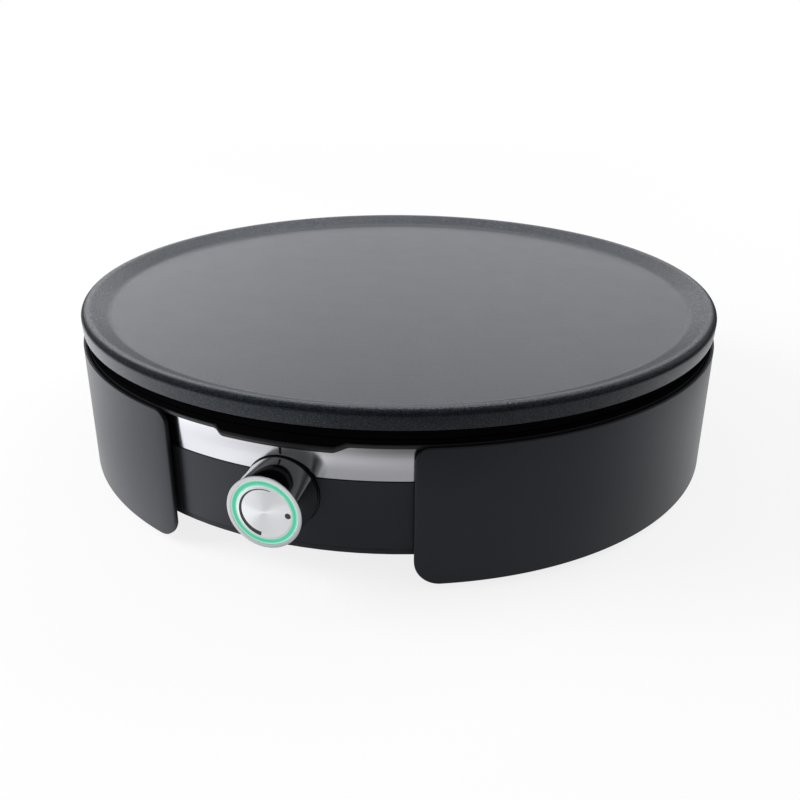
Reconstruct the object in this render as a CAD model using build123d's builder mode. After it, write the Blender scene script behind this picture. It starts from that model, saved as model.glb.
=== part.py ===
from build123d import *
from math import cos, pi, radians, sin, sqrt
import os

os.makedirs("parts", exist_ok=True)

# Electric crepe maker. Millimetres, +Z up, table at Z = 0, front at -Y, and the
# origin on the table under the middle of the baking plate.

# ------------------------------------------------------------------ driving sizes

# Baking plate
plate_radius = 175.2
plate_top = 88.0             # crest of the rim above the table
baking_recess = 4.6          # crest of the rim to the baking surface
rim_foot_inset = 14.5        # outer radius to the foot of the rim's inner slope
rim_crest_inset = 5.0        # outer radius to the inner side of the crest
rim_foot_fillet = 8.0
rim_inner_fillet = 5.0
rim_outer_fillet = 3.2
rim_height = 9.6             # crest to the sharp lower edge
rim_draft = 0.6
plate_thickness = 7.0
skirt_inset = 3.4            # outer radius to the undercut skirt
skirt_depth = 5.2            # sharp lower edge to the skirt's bottom
skirt_wall = 4.0
skirt_fillet = 0.8
cast_fillet = 1.5
plate_boss_radius = 7.0
boss_root = 1.0              # depth that a boss is sunk into its plate
post_inset = 31.0            # body's outer radius to the circle of plate bosses and body posts
post_angle = 45.0            # first post, from the front

# Heating element and the rib that holds it
element_inset = 65.2         # plate's outer radius to the middle of the element
element_tube = 4.0
element_clearance = 0.15
element_bend = 12.0
element_end_angle = 14.8     # from the rear to each end of the ring
element_leg_bottom = 46.0
rib_height = 7.0
rib_wall = 3.0
element_drop = 5.4           # baking plate's underside to the element's middle
rib_gap_half = 38.0
rib_gap_length = 60.0
bush_radius = 4.6
bush_length = 6.0
terminal_pin = 1.4
terminal_pin_length = 9.0
blade_width = 6.3
blade_thickness = 0.8
blade_length = 8.0

# Heat shield and spacers
plate_boss_height = 10.6
shield_thickness = 0.8
shield_inset = 19.0
shield_rim = 4.0
spacer_height = 5.0
spacer_radius = 6.0
shield_window_half = 36.0
shield_window_depth = 24.0
shield_window_corner = 5.0

# Body shell, steel band and collar
body_inset = 4.2             # plate's outer radius to the body's
body_wall = 2.5
body_top = 52.4
body_bottom = 19.0
seam_gap = 0.4
spigot_wall = 2.5
band_thickness = 0.8
band_gap = 0.5               # shadow gap under the steel band
band_fit = 0.2
band_top_gap = 0.2
spigot_top = 70.8
collar_top = 72.8
collar_wall_proud = 1.4      # collar's wall outside the body
collar_fit = 0.3             # band to collar
collar_inner_inset = 14.0
lip_proud = 1.9
lip_level = 69.0             # lower edge of the lip beside the tab
lip_height = 2.5
tab_half_width = 29.3
tab_drop = 3.1
tab_run = 2.2
tab_bend = 3.0
tab_window_half = 45.0
collar_screw_inset = 8.0
collar_screw_angle = 30.0
collar_boss_radius = 5.0
collar_boss_length = 12.8
rib_web = 2.5
post_radius = 6.5
post_bottom = 26.0
plate_screw_seat = 36.0

# Base plate and feet
base_thickness = 2.3
base_inset = 0.4
locating_rib = 3.4
locating_clearance = 0.3
locating_wall = 2.7
base_boss_inset = 14.0
base_boss_radius = 4.5
base_boss_top = 40.0
leg_inset = 33.0
leg_radius = 15.0
leg_wall = 2.0
leg_bottom = 2.8
leg_floor = 3.2
foot_radius = 10.0
foot_height = 4.0
foot_clearance = 0.2
foot_edge = 0.8
vent_count = 24
vent_inset = 83.0
vent_length = 24.0
vent_width = 3.0

# Side panels
panel_proud = 4.5            # panel's outside in front of the body
panel_wall = 2.2
panel_bottom = 3.4
panel_top = 70.6
panel_front_angle = 19.4     # from the front to each panel's edge
panel_top_corner = 7.0
panel_bottom_corner = 12.0
peg_angles = (35.0, 90.0, 145.0)
peg_heights = (28.2, 41.2)
peg_radius = 4.0
peg_shoulder_radius = 6.0
peg_clearance = 0.2
peg_stand_off = 0.3
peg_overhang = 0.4
peg_screw_depth = 5.0
washer_radius = 5.5
washer_thickness = 1.0

# Knob, its seat and its light
knob_height = 43.8
knob_reach = 19.0            # body to the knob's front
knob_radius = 17.0
knob_sleeve_wall = 1.7
knob_gap = 0.3               # seat to knob
seat_proud = 0.9             # seat's face in front of the body
seat_radius = 17.4
hub_radius = 5.9
hub_fit = 0.2
hub_shoulder_inset = 6.4     # body to the step that the light board sits on
hub_end_inset = 11.0
hub_nose_radius = 5.0
light_ring_inner = 12.75
light_ring_depth = 3.3
light_ring_recess = 0.2
face_radius = 12.6
face_thickness = 1.3
core_radius = 12.6
slip = 0.15
knob_edge = 0.3
core_pocket_radius = 10.5
core_pocket_depth = 5.0
core_collar_radius = 5.0
clip_thickness = 0.7
clip_width = 3.0
clip_slot_angle = 40.0
spindle_radius = 3.0
spindle_clearance = 0.05
spindle_inset = 23.0
spindle_end_room = 4.0       # knob's front to the spindle's end
spindle_flat = 1.5
flat_length = 12.0
lamp_count = 6
lamp_circle = 14.0
lamp_hole = 1.6
lamp_size = 2.2
lamp_height = 1.4
board_radius = 16.2
board_thickness = 1.6
board_fit = 0.1

# Thermostat
bracket_inset = 15.0         # body to the bracket's front
bracket_thickness = 1.5
bracket_width = 56.0
bracket_height = 30.0
bracket_corner = 3.0
bracket_screw_half = 21.5
bracket_boss_radius = 4.0
bracket_boss_inset = 3.0
thermostat_width = 34.0
thermostat_height = 28.0
thermostat_depth = 24.0
thermostat_corner = 2.0
spindle_well_radius = 3.3
spindle_well_depth = 7.5
plunger_radius = 2.4
plunger_bore = 2.5
plunger_length = 8.5
plunger_gap = 0.5            # spindle's end to the plunger at rest
plunger_room = 1.0
contact_half = 9.0
contact_rise = 5.0
capillary_radius = 0.8
capillary_bend = 8.0
capillary_run = 19.0         # bulb's end to the capillary's rising run
capillary_rise = 8.0
bulb_inset = 35.0            # element's ring to the bulb's front end
bulb_radius = 2.5
bulb_length = 65.0
sensor_seat = 0.05
fuse_x = 45.0
fuse_y = 5.0
fuse_length = 30.0
earth_x = -60.0
earth_y = 100.0
earth_pad_radius = 4.5
earth_blade_drop = 8.0
earth_run = 30.0             # wire's last bend to the middle of the earth screw
fuse_wire_offset = 14.0      # fuse's end to the wire's way through the shield
shield_hole_room = 3.0
clip_strap = 0.8
clip_strap_width = 9.0
clip_wing = 7.0
strap_clearance = 0.1
strap_screw_depth = 4.5

# Rear: terminals, cord bush and cord clamp
terminal_length = 34.0
terminal_depth = 22.0
terminal_height = 16.0
terminal_edge = 1.0
terminal_inset = 39.0
terminal_poles = 4
pole_pitch = 8.0
terminal_wire_rise = 5.4     # base plate to the middle of the terminal's wires
terminal_well_depth = 5.0
wire_insertion = 8.0
cord_height = 34.0
cord_bore = 3.6
cord_bush_radius = 5.9
cord_bush_fit = 0.2
cord_bush_inset = 11.0
cord_flange_radius = 8.5
cord_flange_thickness = 3.0
cord_flange_gap = 0.2
cord_barb = 0.7
cord_barb_length = 2.4
cord_barb_gap = 0.4
clamp_inset = 17.0
clamp_half = 9.0
clamp_post_radius = 3.5
clamp_width = 8.0
clamp_bar = 5.5
clamp_play = 0.3

# Screws and wires
screw_large = 2.0
screw_small = 1.5
thread_clearance = 0.05
screw_head_ratio = 1.9       # head's radius over the shank's
screw_head_height = 1.25     # times the shank's radius
pass_clearance = 0.25
blind_floor = 2.0            # material left behind a blind screw hole
screw_end_room = 0.8         # screw's end to the hole's floor
over_cut = 2.0               # how far a cutter runs past what it cuts
recess_width = 0.35          # cross recess, times the shank's radius
recess_reach = 1.1           # cross recess, times the head's radius
head_rounding = 0.4          # times the head's height
wire_radius = 1.2
wire_bend = 9.0
lane_x = 30.0                # middle of the long wire runs over the base plate
lane_inset = 101.0           # body to each end of the lane, along Y
lane_level = 24.0
riser_run_back = 28.5        # thermostat's back to the wires that rise to its contacts
riser_run = 8.0              # lane's end bend to the riser
block_run = 25.0             # straight run in front of the terminal block
neutral_inset = 18.0         # element's ring to the neutral wire's riser
light_rise = 1.5             # base plate to the middle of the light lead
light_x = -22.0
lead_radius = 0.8
lead_bend = 3.0
bore_clearance = 0.1

# ------------------------------------------------------------------ derived levels

body_radius = plate_radius - body_inset
element_circle = plate_radius - element_inset
post_circle = body_radius - post_inset
shield_radius = body_radius - shield_inset
collar_wall_radius = body_radius + collar_wall_proud
collar_inner_radius = body_radius - collar_inner_inset
lip_radius = body_radius + lip_proud
collar_screw_circle = body_radius - collar_screw_inset
base_boss_circle = body_radius - base_boss_inset
leg_circle = body_radius - leg_inset
vent_circle = body_radius - vent_inset
panel_radius = body_radius + panel_proud
knob_front = body_radius + knob_reach
hub_shoulder = body_radius - hub_shoulder_inset
hub_end = body_radius - hub_end_inset
spindle_inner_end = body_radius - spindle_inset
spindle_outer_end = knob_front - spindle_end_room
bracket_face = body_radius - bracket_inset
bracket_boss_reach = body_radius - bracket_boss_inset
bulb_start = element_circle - bulb_inset
capillary_turn = bulb_start + capillary_run
terminal_y = body_radius - terminal_inset
cord_bush_inner = body_radius - cord_bush_inset
clamp_y = body_radius - clamp_inset
lane_half = body_radius - lane_inset
neutral_y = element_circle - neutral_inset
baking_level = plate_top - baking_recess
rim_edge_level = plate_top - rim_height
plate_underside = baking_level - plate_thickness
skirt_radius = plate_radius - skirt_inset
skirt_bottom = rim_edge_level - skirt_depth
element_level = plate_underside - element_drop
rib_bottom = plate_underside - rib_height
boss_bottom = plate_underside - plate_boss_height
shield_bottom = boss_bottom - shield_thickness
post_top = shield_bottom - spacer_height
band_radius = body_radius
band_inner = band_radius - band_thickness
spigot_radius = band_inner - band_fit
spigot_inner = spigot_radius - spigot_wall
body_inner = body_radius - body_wall
collar_inner_wall = band_radius + collar_fit
base_top = body_bottom - seam_gap
base_bottom = base_top - base_thickness
panel_inner = panel_radius - panel_wall
seat_face = body_radius + seat_proud
knob_back = seat_face + knob_gap
bracket_back = bracket_face - bracket_thickness
thermostat_back = bracket_back - thermostat_depth
groove_radius = element_tube + element_clearance
post_angles = [post_angle + 90.0 * k for k in range(4)]
collar_screw_angles = [collar_screw_angle + 60.0 * k for k in range(6)]
peg_spots = [(side * a, h) for side in (1, -1) for a in peg_angles for h in peg_heights]
bulb_level = plate_underside - bulb_radius - sensor_seat
strap_spots = [(0.0, -bulb_start + bulb_length / 2), (fuse_x, fuse_y + fuse_length / 2)]
strap_wing_middle = bulb_radius + strap_clearance + clip_strap + clip_wing / 2
strap_screw_spots = [(x + side * strap_wing_middle, y) for x, y in strap_spots for side in (-1, 1)]
fuse_front_wire = fuse_y - fuse_wire_offset
fuse_rear_wire = fuse_y + fuse_length + fuse_wire_offset


def around(azimuth, radius, height):
    """Point at an angle from the front, positive towards +X."""
    a = radians(azimuth)
    return Vector(radius * sin(a), -radius * cos(a), height)


def outward(azimuth, radius, height):
    """Plane on a cylinder round Z: its normal points outward and its local Y points up."""
    a = radians(azimuth)
    return Plane(around(azimuth, radius, height), x_dir=(cos(a), sin(a), 0), z_dir=(sin(a), -cos(a), 0))


def forward(distance, x=0.0, height=knob_height):
    """Plane across the knob's axis: its normal points to the front and its local Y points up."""
    return Plane((x, -distance, height), x_dir=(1, 0, 0), z_dir=(0, -1, 0))


def underneath(azimuth, radius, height):
    """Plane at an angle from the front whose normal points at the table."""
    return Plane(around(azimuth, radius, height), x_dir=(1, 0, 0), z_dir=(0, 0, -1))


def below(x, y, height):
    """Plane at a spot whose normal points at the table."""
    return Plane((x, y, height), x_dir=(1, 0, 0), z_dir=(0, 0, -1))


def pan_screw(shank_radius, length):
    """Pan-head screw with a cross recess: its head stands on local Z = 0, its shank goes to -Z."""
    head_radius = screw_head_ratio * shank_radius
    head_height = screw_head_height * shank_radius
    with BuildPart() as screw:
        with Locations((0, 0, 0)):
            Cylinder(head_radius, head_height, align=(Align.CENTER, Align.CENTER, Align.MIN))
        fillet(screw.edges().group_by(Axis.Z)[-1], head_height * head_rounding)
        with Locations((0, 0, 0)):
            Cylinder(shank_radius, length, align=(Align.CENTER, Align.CENTER, Align.MAX))
        with Locations((0, 0, head_height)):
            Box(head_radius * recess_reach, shank_radius * recess_width, head_height, mode=Mode.SUBTRACT)
            Box(shank_radius * recess_width, head_radius * recess_reach, head_height, mode=Mode.SUBTRACT)
    return screw.part


def round_tube(radius, bend, *points):
    """Solid round wire through the points, with an arc of one radius at every corner."""
    with BuildPart() as tube:
        with BuildLine() as path:
            FilletPolyline(*points, radius=bend)
        with BuildSketch(Plane(path.line @ 0, z_dir=path.line % 0)):
            Circle(radius)
        sweep()
    return tube


# ------------------------------------------------------------------ baking plate
# Cast aluminium: flat baking surface, rounded rim with a sharp lower edge, an undercut
# skirt, a ring rib with the element's groove, and four bosses for the plate screws.

with BuildPart() as baking_plate:
    with BuildSketch(Plane.XZ):
        with BuildLine():
            FilletPolyline(
                (0, baking_level),
                (plate_radius - rim_foot_inset, baking_level),
                (plate_radius - rim_crest_inset, plate_top),
                (plate_radius, plate_top),
                (plate_radius - rim_draft, rim_edge_level),
                (skirt_radius, rim_edge_level),
                (skirt_radius, skirt_bottom),
                (skirt_radius - skirt_wall, skirt_bottom),
                (skirt_radius - skirt_wall, plate_underside),
                (element_circle + groove_radius + rib_wall, plate_underside),
                (element_circle + groove_radius + rib_wall, rib_bottom),
                (element_circle - groove_radius - rib_wall, rib_bottom),
                (element_circle - groove_radius - rib_wall, plate_underside),
                (0, plate_underside),
                radius=[
                    0, rim_foot_fillet, rim_inner_fillet, rim_outer_fillet, 0, skirt_fillet, 0,
                    0, cast_fillet, cast_fillet, 0, 0, cast_fillet, 0,
                ],
                close=True,
            )
        make_face()
    revolve(axis=Axis.Z)
    with BuildSketch(Plane.XZ):
        with Locations((element_circle, element_level)):
            Circle(groove_radius)
            Rectangle(2 * groove_radius, 2 * rib_height, align=(Align.CENTER, Align.MAX))
    revolve(axis=Axis.Z, mode=Mode.SUBTRACT)
    with Locations((0, element_circle, plate_underside)):
        Box(
            2 * rib_gap_half, rib_gap_length, 2 * rib_height,
            align=(Align.CENTER, Align.CENTER, Align.MAX), mode=Mode.SUBTRACT,
        )
    with Locations([around(a, post_circle, boss_bottom) for a in post_angles]):
        Cylinder(
            plate_boss_radius, plate_boss_height + boss_root,
            align=(Align.CENTER, Align.CENTER, Align.MIN),
        )
    with Locations([underneath(a, post_circle, boss_bottom) for a in post_angles]):
        Hole(screw_large + thread_clearance, depth=plate_boss_height)
    with Locations(*[below(x, y, plate_underside) for x, y in strap_screw_spots]):
        Hole(screw_small + thread_clearance, depth=strap_screw_depth)
baking_plate.part.label = "baking_plate"
export_step(baking_plate.part, "parts/baking_plate.step")

# ------------------------------------------------------------------ heating element
# Tubular element: a ring pressed up into the plate's groove, with both ends bent down at
# the rear. Each end has a ceramic bush, a steel pin and a flat blade.

end_angle = radians(element_end_angle)
end_back = Vector(cos(end_angle), sin(end_angle), 0)
ring_start = Vector(-element_circle * sin(end_angle), element_circle * cos(end_angle), element_level)
bend_centre = ring_start - Vector(0, 0, element_bend)
leg_top = bend_centre + end_back * element_bend
leg_middle = bend_centre + (end_back + Vector(0, 0, 1)) * (element_bend / sqrt(2))
mirrored = [Vector(-p.X, p.Y, p.Z) for p in (ring_start, leg_middle, leg_top)]

with BuildPart() as heating_element:
    with BuildLine() as element_path:
        Line((leg_top.X, leg_top.Y, element_leg_bottom), leg_top)
        ThreePointArc(leg_top, leg_middle, ring_start)
        CenterArc((0, 0, element_level), element_circle, 90 + element_end_angle, 360 - 2 * element_end_angle)
        ThreePointArc(*mirrored)
        Line(mirrored[2], (-leg_top.X, leg_top.Y, element_leg_bottom))
    with BuildSketch(Plane((leg_top.X, leg_top.Y, element_leg_bottom))):
        Circle(element_tube)
    sweep()
heating_element.part.label = "heating_element"
export_step(heating_element.part, "parts/heating_element.step")

element_ends = [(side * leg_top.X, leg_top.Y) for side in (-1, 1)]

with BuildPart() as element_bushes:
    with BuildSketch(Plane.XY.offset(element_leg_bottom)):
        with Locations(*element_ends):
            Circle(bush_radius)
            Circle(terminal_pin + thread_clearance, mode=Mode.SUBTRACT)
    extrude(amount=-bush_length)
element_bushes.part.label = "element_bushes"
export_step(element_bushes.part, "parts/element_bushes.step")

with BuildPart() as element_terminals:
    with BuildSketch(Plane.XY.offset(element_leg_bottom)):
        with Locations(*element_ends):
            Circle(terminal_pin)
    extrude(amount=-terminal_pin_length)
    with Locations(*[(x, y, element_leg_bottom - terminal_pin_length) for x, y in element_ends]):
        Box(blade_width, blade_thickness, blade_length, align=(Align.CENTER, Align.CENTER, Align.MAX))
element_terminals.part.label = "element_terminals"
export_step(element_terminals.part, "parts/element_terminals.step")

# ------------------------------------------------------------------ heat shield
# Pressed steel dish between the hot plate and the body, clamped between the plate's
# bosses and the ceramic spacers.

with BuildPart() as heat_shield:
    with BuildSketch(Plane.XZ):
        with BuildLine():
            Polyline(
                (0, shield_bottom),
                (shield_radius, shield_bottom),
                (shield_radius, shield_bottom + shield_rim),
                (shield_radius - shield_thickness, shield_bottom + shield_rim),
                (shield_radius - shield_thickness, boss_bottom),
                (0, boss_bottom),
                close=True,
            )
        make_face()
    revolve(axis=Axis.Z)
    with Locations([around(a, post_circle, boss_bottom) for a in post_angles]):
        Hole(screw_large + pass_clearance)
    with BuildSketch(Plane.XY.offset(boss_bottom)):
        with Locations((0, leg_top.Y)):
            RectangleRounded(2 * shield_window_half, shield_window_depth, shield_window_corner)
        with Locations((0, -capillary_turn)):
            Circle(capillary_radius + shield_hole_room)
        with Locations((fuse_x, fuse_front_wire), (fuse_x, fuse_rear_wire)):
            Circle(wire_radius + shield_hole_room)
        with Locations((earth_x, earth_y)):
            Circle(screw_small + thread_clearance)
    extrude(amount=-2 * shield_thickness, mode=Mode.SUBTRACT)
heat_shield.part.label = "heat_shield"
export_step(heat_shield.part, "parts/heat_shield.step")

with BuildPart() as ceramic_spacers:
    with BuildSketch(Plane.XY.offset(post_top)):
        with Locations([around(a, post_circle, 0) for a in post_angles]):
            Circle(spacer_radius)
            Circle(screw_large + pass_clearance, mode=Mode.SUBTRACT)
    extrude(amount=spacer_height)
ceramic_spacers.part.label = "ceramic_spacers"
export_step(ceramic_spacers.part, "parts/ceramic_spacers.step")

plate_screw = pan_screw(screw_large, plate_underside - screw_end_room - plate_screw_seat)
with BuildPart() as plate_screws:
    with Locations([underneath(a, post_circle, plate_screw_seat) for a in post_angles]):
        add(plate_screw)
plate_screws.part.label = "plate_screws"
export_step(plate_screws.part, "parts/plate_screws.step")

# ------------------------------------------------------------------ body shell
# Lower housing: a drum wall with a spigot for the steel band, four webbed posts that
# carry the plate, and bosses for the collar, the base plate and the thermostat bracket.

lamp_spots = [
    (lamp_circle * cos(2 * pi * k / lamp_count), lamp_circle * sin(2 * pi * k / lamp_count))
    for k in range(lamp_count)
]

with BuildPart() as body_shell:
    with BuildSketch(Plane.XZ):
        with BuildLine():
            Polyline(
                (body_inner, body_bottom),
                (body_radius, body_bottom),
                (body_radius, body_top),
                (spigot_radius, body_top),
                (spigot_radius, spigot_top),
                (spigot_inner, spigot_top),
                (spigot_inner, body_top - body_wall),
                (body_inner, body_top - 2 * body_wall),
                close=True,
            )
        make_face()
    revolve(axis=Axis.Z)
    web_reach = body_inner + body_wall / 2 - post_circle
    with Locations([outward(a, post_circle, post_bottom) for a in post_angles]):
        Box(rib_web, body_top - post_bottom, web_reach, align=(Align.CENTER, Align.MIN, Align.MIN))
    with Locations([around(a, post_circle, post_bottom) for a in post_angles]):
        Cylinder(post_radius, post_top - post_bottom, align=(Align.CENTER, Align.CENTER, Align.MIN))
    with Locations([around(a, base_boss_circle, base_top) for a in post_angles]):
        Cylinder(base_boss_radius, base_boss_top - base_top, align=(Align.CENTER, Align.CENTER, Align.MIN))
    with Locations([around(a, collar_screw_circle, spigot_top) for a in collar_screw_angles]):
        Cylinder(collar_boss_radius, collar_boss_length, align=(Align.CENTER, Align.CENTER, Align.MAX))
    with Locations(*[forward(bracket_face, side * bracket_screw_half) for side in (-1, 1)]):
        Cylinder(
            bracket_boss_radius, bracket_boss_reach - bracket_face,
            align=(Align.CENTER, Align.CENTER, Align.MIN),
        )
    with Locations([underneath(a, post_circle, post_bottom) for a in post_angles]):
        CounterBoreHole(
            screw_large + pass_clearance, screw_head_ratio * screw_large + pass_clearance,
            plate_screw_seat - post_bottom,
        )
    with Locations([underneath(a, base_boss_circle, base_top) for a in post_angles]):
        Hole(screw_small + thread_clearance, depth=base_boss_top - base_top - blind_floor)
    with Locations([around(a, collar_screw_circle, spigot_top) for a in collar_screw_angles]):
        Hole(screw_small + thread_clearance, depth=collar_boss_length - blind_floor)
    with Locations(*[forward(bracket_face, side * bracket_screw_half) for side in (-1, 1)]):
        Cylinder(
            screw_small + thread_clearance, bracket_boss_reach - bracket_face - blind_floor,
            align=(Align.CENTER, Align.CENTER, Align.MIN), mode=Mode.SUBTRACT,
        )
    with Locations([outward(a, body_inner - over_cut, h) for a, h in peg_spots]):
        Cylinder(
            peg_radius + peg_clearance, body_wall + 2 * over_cut,
            align=(Align.CENTER, Align.CENTER, Align.MIN), mode=Mode.SUBTRACT,
        )
    with BuildSketch(forward(hub_end)):
        Circle(hub_radius + hub_fit)
        with Locations(*lamp_spots):
            Circle(lamp_hole)
    extrude(amount=seat_face - hub_end, mode=Mode.SUBTRACT)
    with BuildSketch(outward(180, body_inner - over_cut, cord_height)):
        Circle(cord_bush_radius + cord_bush_fit)
    extrude(amount=body_wall + 2 * over_cut, mode=Mode.SUBTRACT)
body_shell.part.label = "body_shell"
export_step(body_shell.part, "parts/body_shell.step")

# Brushed steel band: a rolled strip round the spigot, split at the rear.
with BuildPart() as steel_band:
    with BuildSketch(Plane.XY.offset(body_top + band_gap)):
        Circle(band_radius)
        Circle(band_inner, mode=Mode.SUBTRACT)
        with Locations((0, band_radius)):
            Rectangle(band_gap, 4 * band_thickness, mode=Mode.SUBTRACT)
    extrude(amount=spigot_top - band_top_gap - body_top - band_gap)
    with BuildSketch(forward(hub_end)):
        Circle(hub_radius + hub_fit)
        with Locations(*lamp_spots):
            Circle(lamp_hole)
    extrude(amount=seat_face - hub_end, mode=Mode.SUBTRACT)
steel_band.part.label = "steel_band"
export_step(steel_band.part, "parts/steel_band.step")

# ------------------------------------------------------------------ collar
# Black ring between the band and the plate's skirt. Its lip steps down in a shallow tab
# over the knob, with soft S bends at both ends of the tab.

tab_edge = tab_half_width + tab_run / 2
tab_foot = tab_half_width - tab_run / 2
tab_outline = [
    (-tab_window_half, 0), (-tab_edge, 0), (-tab_foot, -tab_drop),
    (tab_foot, -tab_drop), (tab_edge, 0), (tab_window_half, 0),
]


def tab_band(thickness):
    """Front view of a strip that follows the lip's lower edge."""
    with BuildSketch(Plane.XZ) as band:
        with BuildLine():
            low = FilletPolyline(*[(x, lip_level + z) for x, z in tab_outline], radius=tab_bend)
            high = FilletPolyline(*[(x, lip_level + thickness + z) for x, z in tab_outline], radius=tab_bend)
            Line(low @ 0, high @ 0)
            Line(low @ 1, high @ 1)
        make_face()
    return band.sketch


with BuildPart() as lip_front:
    add(tab_band(lip_height))
    extrude(amount=lip_radius + over_cut, dir=(0, -1, 0))
    with BuildSketch(Plane.XY.offset(lip_level - tab_drop - over_cut)):
        Circle(lip_radius)
        Circle(collar_inner_wall, mode=Mode.SUBTRACT)
    extrude(amount=lip_height + tab_drop + 2 * over_cut, mode=Mode.INTERSECT)

with BuildPart() as wall_front:
    with BuildSketch(Plane.XZ):
        with BuildLine():
            wall_edge = FilletPolyline(*[(x, lip_level + z) for x, z in tab_outline], radius=tab_bend)
            Polyline(
                wall_edge @ 0, (-tab_window_half, collar_top), (tab_window_half, collar_top), wall_edge @ 1
            )
        make_face()
    extrude(amount=collar_wall_radius + over_cut, dir=(0, -1, 0))
    with BuildSketch(Plane.XY.offset(lip_level - tab_drop - over_cut)):
        Circle(collar_wall_radius)
        Circle(collar_inner_wall, mode=Mode.SUBTRACT)
    extrude(amount=collar_top - lip_level + tab_drop + 2 * over_cut, mode=Mode.INTERSECT)

with BuildPart() as collar:
    with BuildSketch(Plane.XZ):
        with BuildLine():
            Polyline(
                (collar_inner_radius, spigot_top),
                (collar_inner_wall, spigot_top),
                (collar_inner_wall, lip_level),
                (lip_radius, lip_level),
                (lip_radius, lip_level + lip_height),
                (collar_wall_radius, lip_level + lip_height),
                (collar_wall_radius, collar_top),
                (collar_inner_radius, collar_top),
                close=True,
            )
        make_face()
    revolve(axis=Axis.Z)
    with Locations((0, -lip_radius, lip_level - over_cut)):
        Box(
            2 * tab_window_half, 2 * (lip_radius - tab_window_half), collar_top - lip_level + 2 * over_cut,
            align=(Align.CENTER, Align.CENTER, Align.MIN), mode=Mode.SUBTRACT,
        )
    with BuildSketch(Plane.XY.offset(spigot_top)):
        Circle((collar_inner_wall + collar_wall_radius) / 2)
        Circle(collar_inner_radius, mode=Mode.SUBTRACT)
    extrude(amount=collar_top - spigot_top)
    add(lip_front.part)
    add(wall_front.part)
    with Locations([around(a, collar_screw_circle, collar_top) for a in collar_screw_angles]):
        Hole(screw_small + pass_clearance)
collar.part.label = "collar"
export_step(collar.part, "parts/collar.step")

collar_hole = collar_boss_length - blind_floor
collar_screw = pan_screw(screw_small, collar_top - spigot_top + collar_hole - screw_end_room)
with BuildPart() as collar_screws:
    with Locations([around(a, collar_screw_circle, collar_top) for a in collar_screw_angles]):
        add(collar_screw)
collar_screws.part.label = "collar_screws"
export_step(collar_screws.part, "parts/collar_screws.step")

# ------------------------------------------------------------------ base plate and feet
# Bottom cover with a locating rib inside the body's wall, ventilation slots, four hollow
# legs, the saddle and posts of the cord clamp, and a rubber pad under each leg.

base_radius = body_radius - base_inset
rib_outer = body_inner - locating_clearance
clamp_post_top = cord_height

with BuildPart() as base_plate:
    with BuildSketch(Plane.XZ):
        with BuildLine():
            Polyline(
                (0, base_bottom),
                (base_radius, base_bottom),
                (base_radius, base_top),
                (rib_outer, base_top),
                (rib_outer, base_top + locating_rib),
                (rib_outer - locating_wall, base_top + locating_rib),
                (rib_outer - locating_wall, base_top),
                (0, base_top),
                close=True,
            )
        make_face()
    revolve(axis=Axis.Z)
    with Locations([around(a, leg_circle, leg_bottom) for a in post_angles]):
        Cylinder(leg_radius, base_top - leg_bottom, align=(Align.CENTER, Align.CENTER, Align.MIN))
    with Locations([around(a, leg_circle, leg_bottom + leg_floor) for a in post_angles]):
        Cylinder(
            leg_radius - leg_wall, base_top - leg_bottom,
            align=(Align.CENTER, Align.CENTER, Align.MIN), mode=Mode.SUBTRACT,
        )
    with Locations([around(a, leg_circle, leg_bottom) for a in post_angles]):
        Cylinder(foot_radius + foot_clearance, 2 * (foot_height - leg_bottom), mode=Mode.SUBTRACT)
    with Locations([underneath(a, base_boss_circle, base_bottom) for a in post_angles]):
        Hole(screw_small + pass_clearance, depth=base_thickness)
    with BuildSketch(Plane.XY.offset(base_bottom)):
        with PolarLocations(vent_circle, vent_count, start_angle=180.0 / vent_count):
            SlotOverall(vent_length, vent_width)
    extrude(amount=base_thickness, mode=Mode.SUBTRACT)
    with Locations(*[(side * clamp_half, clamp_y, base_top) for side in (-1, 1)]):
        Cylinder(clamp_post_radius, clamp_post_top - base_top, align=(Align.CENTER, Align.CENTER, Align.MIN))
    with Locations(*[(side * clamp_half, clamp_y, clamp_post_top) for side in (-1, 1)]):
        Hole(screw_small + thread_clearance, depth=clamp_post_top - base_top - blind_floor)
    with Locations((0, clamp_y, base_top)):
        Box(
            2 * (clamp_half - clamp_post_radius - clamp_play), clamp_width,
            cord_height - cord_bore - base_top,
            align=(Align.CENTER, Align.CENTER, Align.MIN),
        )
base_plate.part.label = "base_plate"
export_step(base_plate.part, "parts/base_plate.step")

base_hole = base_boss_top - base_top - blind_floor
base_screw = pan_screw(screw_small, base_thickness + base_hole - screw_end_room)
with BuildPart() as base_screws:
    with Locations([underneath(a, base_boss_circle, base_bottom) for a in post_angles]):
        add(base_screw)
base_screws.part.label = "base_screws"
export_step(base_screws.part, "parts/base_screws.step")

with BuildPart() as rubber_feet:
    with Locations([around(a, leg_circle, 0) for a in post_angles]):
        Cylinder(foot_radius, foot_height, align=(Align.CENTER, Align.CENTER, Align.MIN))
    chamfer(rubber_feet.edges().group_by(Axis.Z)[0], foot_edge)
rubber_feet.part.label = "rubber_feet"
export_step(rubber_feet.part, "parts/rubber_feet.step")

# ------------------------------------------------------------------ side panels
# Curved skirts that stand off the body on pegs. Each covers one side, from edge angle to
# edge angle, and its pegs go through the body's wall to screws and washers inside.

front_edge = around(panel_front_angle, 1, 0)
panel_sweep = 180.0 - 2 * panel_front_angle

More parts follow.
